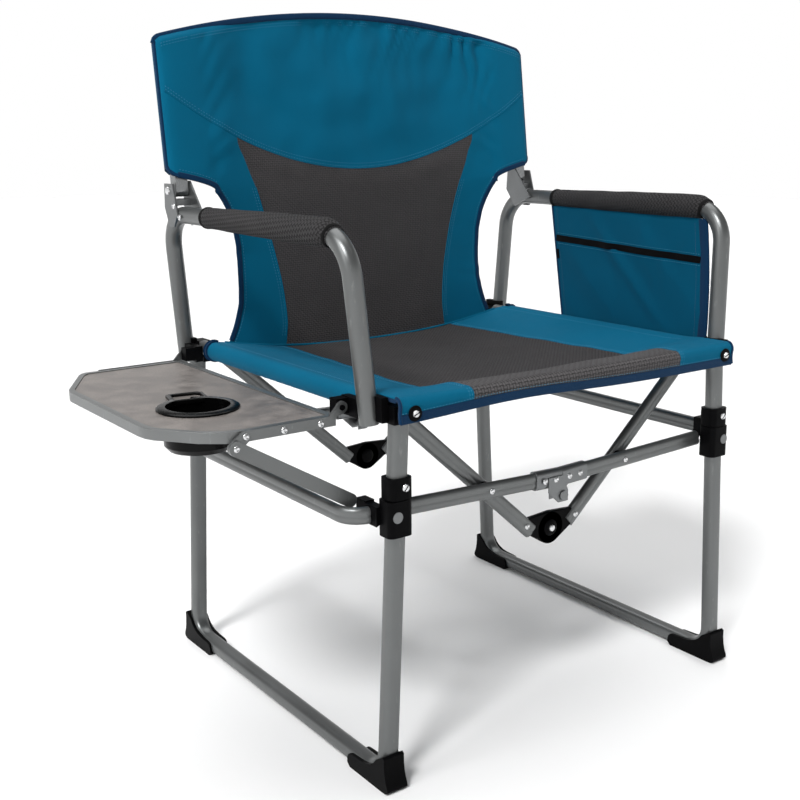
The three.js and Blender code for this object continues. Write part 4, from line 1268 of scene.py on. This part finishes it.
def pocket_trim():
    """Bindings, zip, stitches and pull tag, on the face by the seat."""
    pieces = []
    inward = Vector((-1, 0, 0))
    run = spread(0, 1, 30)
    level = spread(0.02, 0.985, 40)
    for across, width in ((0.0, 15), (1.0, 5)):
        edge = [pocket_point(across, t, 0) for t in run]
        pieces.append(binding("pocket_side_binding", edge, inward, width, 3.4))
    bottom = [pocket_point(across, 1.0, 0) for across in run]
    pieces.append(binding("pocket_bottom_binding", bottom, inward, 8, 3.2))
    band = [pocket_point(across, mouth_t(across), -1, 0.5) for across in level]
    pieces.append(sweep("pocket_mouth", band, rounded_section(9.5, 1.6, 0.7, 2), inward, ZIP, 60))
    for rise in (-0.046, 0.046):
        row = [pocket_point(across, mouth_t(across) + rise, -1, 0.8) for across in level]
        pieces.append(stitches("mouth_stitches", row, inward, STITCH))
    for across in (0.045, 0.965):
        row = [pocket_point(across, t, -1, 0.7) for t in run[1:]]
        pieces.append(stitches("pocket_side_stitches", row, inward, DARK_STITCH))
    tag = [pocket_point(0.985, t, -1, 1.0) for t in (0.40, 0.44, 0.48)]
    pieces.append(sweep("pocket_tag", tag, rounded_section(5, 1.4, 0.4, 2), inward, ZIP, 60))
    return place(join("pocket_trim", pieces), "right_frame", "teal_cloth")


# ------------------------------------------------------------------ arm pads
PAD = {"front_y": -189, "rear_y": 113, "radius": 15.6, "end_radius": 12.4, "gather": 16}
PAD_STEP = 2.5
PAD_SIDES = 32
ELASTIC = [(11, -3), (13.2, -3), (13.9, -1), (13.9, 1), (13.2, 3), (11, 3)]


def pad_line(s):
    line = resample(arm_line(s, 24), PAD_STEP * MM)
    return [p for p in line if PAD["front_y"] * MM <= p.y <= PAD["rear_y"] * MM and p.z > 560 * MM]


def pad_ring(s, number, p, tangent, from_end):
    """Points round the arm at one step of its line: drawn in and pleated near an end, a little lumpy."""
    side = Vector((1, 0, 0)) - tangent * tangent.x
    side.normalize()
    up = side.cross(tangent)
    thick = PAD["radius"] * lerp(0.88, 1.06, smooth_step((PAD["rear_y"] - p.y / MM) / 250))
    fullness = smooth_step(from_end / PAD["gather"]) ** 0.6
    radius = lerp(PAD["end_radius"], thick, fullness)
    ring = []
    for k in range(PAD_SIDES):
        a = 2 * math.pi * k / PAD_SIDES
        pleat = 0.7 * math.cos(9 * a + s) * math.exp(-from_end / 9)
        lump = 0.5 * noise.noise(Vector((number * 0.08, math.cos(a) + s * 5, math.sin(a))))
        ring.append(p + (side * math.cos(a) + up * math.sin(a)) * (radius + pleat + lump) * MM)
    return ring


def padded_sleeve(s):
    """A foam sleeve round the arm."""
    line = pad_line(s)
    length = (len(line) - 1) * PAD_STEP
    rings = []
    for i, (p, tangent) in enumerate(zip(line, tangents(line))):
        rings.append(pad_ring(s, i, p, tangent, min(i * PAD_STEP, length - i * PAD_STEP)))
    return loft(f"{SIDE_NAME[s]}_pad", rings, PAD_CLOTH, 60)


def evaluated(piece):
    return piece.evaluated_get(bpy.context.evaluated_depsgraph_get())


def inflate(piece, voxel, cap, frames=20):
    """Swells a closed mesh as cloth under pressure, and moves no point further than `cap` mm."""
    remesh = piece.modifiers.new("remesh", "REMESH")
    remesh.mode = "VOXEL"
    remesh.voxel_size = voxel * MM
    mesh = bpy.data.meshes.new_from_object(evaluated(piece))
    piece.modifiers.clear()
    piece.data = mesh
    start = [v.co.copy() for v in mesh.vertices]
    cloth = piece.modifiers.new("cloth", "CLOTH")
    cloth.settings.use_pressure = True
    cloth.settings.uniform_pressure_force = 4
    cloth.settings.tension_stiffness = 15
    cloth.settings.quality = 5
    cloth.settings.effector_weights.gravity = 0
    cloth.point_cache.frame_start = 1
    cloth.point_cache.frame_end = frames
    for number in range(1, frames + 1):
        bpy.context.scene.frame_set(number)
    end = [v.co.copy() for v in evaluated(piece).data.vertices]
    piece.modifiers.clear()
    bpy.context.scene.frame_set(1)
    for vertex, a, b in zip(mesh.vertices, start, end):
        move = b - a
        if move.length > cap * MM:
            move = move.normalized() * cap * MM
        vertex.co = a + move
    mesh.polygons.foreach_set("use_smooth", [True] * len(mesh.polygons))
    smooth = piece.modifiers.new("smooth", "SUBSURF")
    smooth.levels = smooth.render_levels = 1


def wrap_uvs(piece, s):
    """Gives a sleeve UVs in metres: round the arm and along it, with the join underneath."""
    line = arm_line(s)
    middle = line[len(line) // 2]
    layer = piece.data.uv_layers.new(name="cloth")
    for face in piece.data.polygons:
        angles = []
        for index in face.vertices:
            p = piece.data.vertices[index].co
            angles.append(math.atan2(p.x - middle.x, p.z - middle.z))
        if max(angles) - min(angles) > math.pi:
            angles = [a + 2 * math.pi if a < 0 else a for a in angles]
        for loop, a, index in zip(face.loop_indices, angles, face.vertices):
            layer.data[loop].uv = (a * PAD["radius"] * MM, piece.data.vertices[index].co.y)


def arm_pad(s):
    """The sleeve, and the elastic that draws it in near both ends."""
    side = SIDE_NAME[s]
    pad = padded_sleeve(s)
    inflate(pad, voxel=4, cap=1.6)
    wrap_uvs(pad, s)
    place(pad, f"{side}_frame", "arm_sleeve", f"{side}_arm_pad")
    line = pad_line(s)
    along = tangents(line)
    elastics = [turned("elastic", ELASTIC, line[i], along[i], PAD_CLOTH, PAD_SIDES)
                for i in (2, len(line) - 3)]
    place(join(f"{side}_pad_elastics", elastics), f"{side}_frame", "arm_sleeve")


# ------------------------------------------------------------------ small hardware
RIVET = [(0, 0), (3.8, 0), (3.8, 0.5), (3.1, 1.4), (1.9, 1.9), (1.4, 1.5), (0, 1.3)]
BUTTON = [(0, 0), (5.6, 0), (5.6, 0.8), (4.8, 2.2), (3.0, 3.0), (0, 3.3)]
WASHER = [(0, 0), (8.6, 0), (8.9, 0.6), (8.4, 1.5), (6.2, 1.9), (0, 1.9)]
SPACER = [(0, 0), (8.5, 0), (8.5, 4.6), (0, 4.6)]
WINDOW = [(0, 0), (6.4, 0), (6.4, 0.7), (5.2, 0.9), (0, 0.4)]
CROSSING_X = 111
BRACKET_RIVETS_X = (12, 30)
WINDOW_X, WINDOW_Z = 267, 324
COLLAR_SCREW_Z = 356
HEM_SCREW = {LEFT: (-248, 438.5), RIGHT: (252, 441)}
TABLE_RIVETS = {"x": (-415, -370, -325), "y": 198.3, "z": 426}
STRUT_PIVOT = {"x": -428, "y": 201.8, "z": 416}
KNUCKLE = {"radius": 21, "tongue": 8.4, "thick": 3.9, "z": 243}
CUP = {"x": -407, "y": -70, "top": 432.4}
SLOT = {"turn": math.radians(78), "half": 22, "start": 33, "end": 71}


def facing(e):
    return TO_FRONT if e == FRONT else TO_REAR


def slotted_screw(name, centre, axis, radius, turn):
    """A pan-head screw with a cut slot."""
    profile = [(0, 0), (radius, 0), (radius, 1.0), (radius * 0.82, 2.1), (0, 2.5)]
    head = turned(name, profile, centre, axis, BRIGHT)
    spin = axis.normalized().to_track_quat("Z", "Y").to_matrix()
    along = spin @ Vector((math.cos(turn), math.sin(turn), 0))
    line = [centre + axis.normalized() * 2.3 * MM + along * radius * k * 0.86 * MM for k in (-1, 1)]
    slot = sweep(f"{name}_slot", line, rounded_section(0.7, 1.3, 0.2, 1), along.cross(axis), BLACK)
    return join(name, [head, slot])


def bar_line_z(x):
    """Centre height of the half bars at a distance from the centre plane."""
    start, end = bar_ends("left_front_half_bar", BAR["height"], RIGHT)
    return lerp(start.z, end.z, (-abs(x) - start.x) / (end.x - start.x))


def bar_rivets(s, e):
    """Rivets through the half bar: two in its bracket, and one with a spacer where it crosses the V arm."""
    corner = corner_name(s, e)
    bar, bracket = f"{corner}_half_bar", f"{corner}_bar_bracket"
    z = bar_line_z(CROSSING_X)
    pieces = [turned("crossing", RIVET, at(s * CROSSING_X, outer_y(bar, e), z), facing(e), BRIGHT)]
    for x in BRACKET_RIVETS_X:
        spot = at(s * x, outer_y(bracket, e), bar_line_z(x))
        pieces.append(turned("bracket", RIVET, spot, facing(e), BRIGHT))
    pieces.append(turned("spacer", SPACER, at(s * CROSSING_X, outer_y(bar, -e), z), -facing(e), BLACK))
    place(join(f"{corner}_bar_rivets", pieces), f"{SIDE_NAME[s]}_half_bars", "steel_bracket")


def knuckle_outline(tip):
    """Outline about the hinge of a round disc drawn out to a tongue that ends at `tip`."""
    radius, tongue = KNUCKLE["radius"], KNUCKLE["tongue"]
    away = math.atan2(tip[1], tip[0])
    half_turn = math.acos((radius - tongue) / math.hypot(*tip))
    outline = []
    for k in range(41):
        turn = away + half_turn + (2 * math.pi - 2 * half_turn) * k / 40
        outline.append((radius * math.cos(turn), radius * math.sin(turn)))
    for k in range(9):
        turn = away - math.pi / 2 + math.pi * k / 8
        outline.append((tip[0] + tongue * math.cos(turn), tip[1] + tongue * math.sin(turn)))
    return outline


def arm_rivet_spot(s, e):
    """Point on the axis of a V arm, near its lower end, where its rivet goes."""
    start, end = bar_ends(f"{corner_name(s, e)}_v_arm", V_ARM["height"], -s)
    return end.lerp(start, 10 / (start - end).length)


def knuckle(s, e):
    """Black hinge plate of the V, thin enough for its tongue to hide in the arm's end."""
    node = f"{corner_name(s, e)}_knuckle"
    arm = f"{corner_name(s, e)}_v_arm"
    middle_y = (outer_y(arm, FRONT) + outer_y(arm, REAR)) / 2
    spot = arm_rivet_spot(s, e)
    outline = knuckle_outline((spot.x, spot.z - KNUCKLE["z"]))
    rings = []
    for inset, depth in ((0.8, -1.0), (0, -0.8), (0, 0.8), (0.8, 1.0)):
        ring = []
        for x, z in outline:
            shrink = 1 - inset / math.hypot(x, z)
            ring.append(at(x * shrink, middle_y + depth * KNUCKLE["thick"], KNUCKLE["z"] + z * shrink))
        rings.append(ring)
    plate = loft(f"{node}_plate", rings, BLACK)
    hub = [(r * 1.9, h * 0.9) for r, h in BUTTON]
    outward = e if s == LEFT else -e
    face = middle_y + outward * KNUCKLE["thick"] * 0.95
    boss = turned("boss", hub, at(0, face, KNUCKLE["z"]), facing(outward), BLACK)
    place(join(f"{node}_disc", [plate, boss]), f"{SIDE_NAME[s]}_v_arms", "black_plastic", node)


def knuckle_rivets(s, e):
    """Rivet of the V arm's end, and on the left the cap of the hinge that both knuckles turn on."""
    corner = corner_name(s, e)
    out = outer_y(f"{corner}_v_arm", e)
    spot = arm_rivet_spot(s, e)
    pieces = [turned("arm_rivet", RIVET, at(spot.x, out, spot.z), facing(e), BRIGHT)]
    if s == LEFT:
        cap = [(r * 0.8, h) for r, h in BUTTON]
        pieces.append(turned("hinge_rivet", cap, at(0, out, KNUCKLE["z"]), facing(e), BRIGHT))
    place(join(f"{corner}_knuckle_rivets", pieces), f"{SIDE_NAME[s]}_v_arms", "steel_bracket")


def frame_screws(s):
    """Screws on the collars, and the washer and screw that hold the seat's front hem."""
    side = SIDE_NAME[s]
    pieces = []
    for e in ENDS:
        node = f"{side}_{END_NAME[e]}_collar"
        low, high = chair_box(node)
        spot = at((low.x + high.x) / 2 + 3, outer_y(node, e), COLLAR_SCREW_Z)
        pieces.append(slotted_screw("collar", spot, facing(e), 4.4, 0.9))
    screw_x, screw_z = HEM_SCREW[s]
    hem = at(screw_x, SEAT["front_y"] - 0.4, screw_z)
    pieces.append(turned("hem_washer", WASHER, hem, TO_FRONT, BLACK))
    pieces.append(slotted_screw("hem_screw", hem + TO_FRONT * 1.6 * MM, TO_FRONT, 4.2, 0.4))
    place(join(f"{side}_frame_screws", pieces), f"{side}_frame", "steel_bracket")


def post_bolts(s):
    """Pivot and bolts of the bracket that joins the back post to the arm tube."""
    side, out = SIDE_NAME[s], Vector((s, 0, 0))
    low, high = chair_box(f"{side}_post_bracket")
    outer = low.x if s == LEFT else high.x
    pieces = [turned("pivot", BUTTON, at(outer, PIVOT_Y, PIVOT_Z), out, BRIGHT)]
    for y, z in ((PIVOT_Y - 14, 638), (PIVOT_Y - 30, 624)):
        pieces.append(turned("bolt", RIVET, at(outer, y, z), out, BRIGHT))
    place(join(f"{side}_post_bolts", pieces), f"{side}_frame", "steel_bracket")


def slider_window(s, e):
    """Round steel window on a slider's outer face."""
    corner = corner_name(s, e)
    spot = at(s * WINDOW_X, outer_y(f"{corner}_slider", e), WINDOW_Z)
    window = turned(f"{corner}_slider_window", WINDOW, spot, facing(e), STEEL)
    place(window, f"{SIDE_NAME[s]}_sliders", "steel_bracket")


def table_rivets():
    """Rivets along the table's front and rear edge strips, and the pivots of its struts."""
    strips, pivots = [], []
    for e in ENDS:
        for x in TABLE_RIVETS["x"]:
            spot = at(x, e * TABLE_RIVETS["y"], TABLE_RIVETS["z"])
            strips.append(turned("strip", RIVET, spot, facing(e), BRIGHT))
        spot = at(STRUT_PIVOT["x"], e * STRUT_PIVOT["y"], STRUT_PIVOT["z"])
        pivots.append(turned("strut_pivot", RIVET, spot, facing(e), BRIGHT))
    place(join("table_rivets", strips), "table", "steel_bracket")
    place(join("strut_pivots", pivots), "table_struts", "steel_bracket")


def cup_point(along, across, drop):
    """Point by its distance from the cup's middle along the handle slot, across it, and below its top."""
    ahead = Vector((math.cos(SLOT["turn"]), math.sin(SLOT["turn"]), 0))
    aside = Vector((-ahead.y, ahead.x, 0))
    spot = Vector((CUP["x"], CUP["y"], CUP["top"] - drop)) + ahead * along + aside * across
    return at(*spot)


def slot_ring(near, far, half, drop):
    """Outline of the cup's handle slot with its far corners cut, at a depth below the cup's top."""
    cut = 4
    corners = ((far - cut, half), (far, half - cut), (far, cut - half), (far - cut, -half),
               (near, -half), (near, half))
    return [cup_point(along, across, drop) for along, across in corners]


def cup_slot():
    """Raised flange round the mug's handle slot, and the dark liner that closes the slot from outside."""
    start, end, half = SLOT["start"], SLOT["end"], SLOT["half"]
    profile = ((0, 2.6), (0, -1.2), (0.8, -2), (4.2, -2), (5, -1.2), (5, 1.6), (8, 1.8))
    rings = [slot_ring(start + inset, end - inset, half - inset, drop) for inset, drop in profile]
    flange = loft("slot_flange", rings, GLOSS, 30)
    liner_rings = [slot_ring(start + 3, start + 13, half - 1, drop) for drop in (2.6, 34)]
    liner = loft("slot_liner", liner_rings, GLOSS, 30)
    place(join("cup_handle_slot", [flange, liner]), "table", "cup_holder")


def make_hardware():
    for s in SIDES:
        frame_screws(s)
        post_bolts(s)
        for e in ENDS:
            bar_rivets(s, e)
            knuckle(s, e)
            knuckle_rivets(s, e)
            slider_window(s, e)
    table_rivets()
    cup_slot()


# ------------------------------------------------------------------ stage
def floor():
    corners = [Vector((x, y, 0)) for x, y in ((-9, -9), (9, -9), (9, 12), (-9, 12))]
    s = Shader("studio_floor").set(Roughness=0.9)
    tone = s.noise(s.coordinates("Object"), 3, 2)
    s.colour(s.mix(tone, (0.88, 0.88, 0.88, 1), (0.92, 0.92, 0.92, 1)))
    mesh_object("studio_floor", corners, [(0, 1, 2, 3)], s.material)


def softbox(name, place_at, target, size, power):
    data = bpy.data.lights.new(name, "AREA")
    data.shape = "RECTANGLE"
    data.size, data.size_y = size
    data.energy = power
    light = add_object(name, data)
    light.location = place_at
    light.rotation_euler = (place_at - target).to_track_quat("Z", "Y").to_euler()


def daylight(name, towards, strength, softness):
    """An even light from a wide source far away. softness is its width in degrees."""
    data = bpy.data.lights.new(name, "SUN")
    data.energy = strength
    data.angle = math.radians(softness)
    light = add_object(name, data)
    light.rotation_euler = towards.to_track_quat("Z", "Y").to_euler()


def surroundings():
    """A white room that is bright along the horizon and dimmer overhead, where the softboxes hang."""
    world = bpy.data.worlds.new("studio")
    world.use_nodes = True
    nodes, links = world.node_tree.nodes, world.node_tree.links
    direction = nodes.new("ShaderNodeTexCoord")
    parts = nodes.new("ShaderNodeSeparateXYZ")
    fade = nodes.new("ShaderNodeMapRange")
    links.new(direction.outputs["Generated"], parts.inputs[0])
    links.new(parts.outputs["Z"], fade.inputs["Value"])
    fade.inputs["From Min"].default_value = 0.16
    fade.inputs["From Max"].default_value = 0.42
    fade.inputs["To Min"].default_value = 1.0
    fade.inputs["To Max"].default_value = 0.14
    background = nodes["Background"]
    background.inputs["Color"].default_value = (1, 1, 1, 1)
    links.new(fade.outputs[0], background.inputs["Strength"])
    return world


def studio():
    floor()
    bpy.context.scene.world = surroundings()
    daylight("key", Vector((-0.85, -0.49, 1.1)), 2.3, 14)
    daylight("top", Vector((0.15, 0.3, 1.0)), 1.8, 60)
    softbox("edge", at(-1500, -300, 1500), at(0, 0, 450), (0.5, 1.2), 9)
    bpy.context.scene.view_settings.view_transform = "Standard"


# ------------------------------------------------------------------ the chair
def make_back():
    left, panel, right = upper_back()
    left_trim, panel_trim, right_trim = upper_trim()
    trim = lower_trim()
    lower_back()


def make_seat():
    left, sling, right = seat()
    seat_trim()
    for s, sleeve in ((LEFT, left), (RIGHT, right)):
        seat_sleeve_trim(s)


def make_pocket():
    trim = pocket_trim()
    pocket()


def make_pads():
    for s in SIDES:
        arm_pad(s)


make_camera()
finish_cad_nodes()
make_tubes()
make_back()
make_seat()
make_pocket()
make_pads()
make_hardware()
studio()
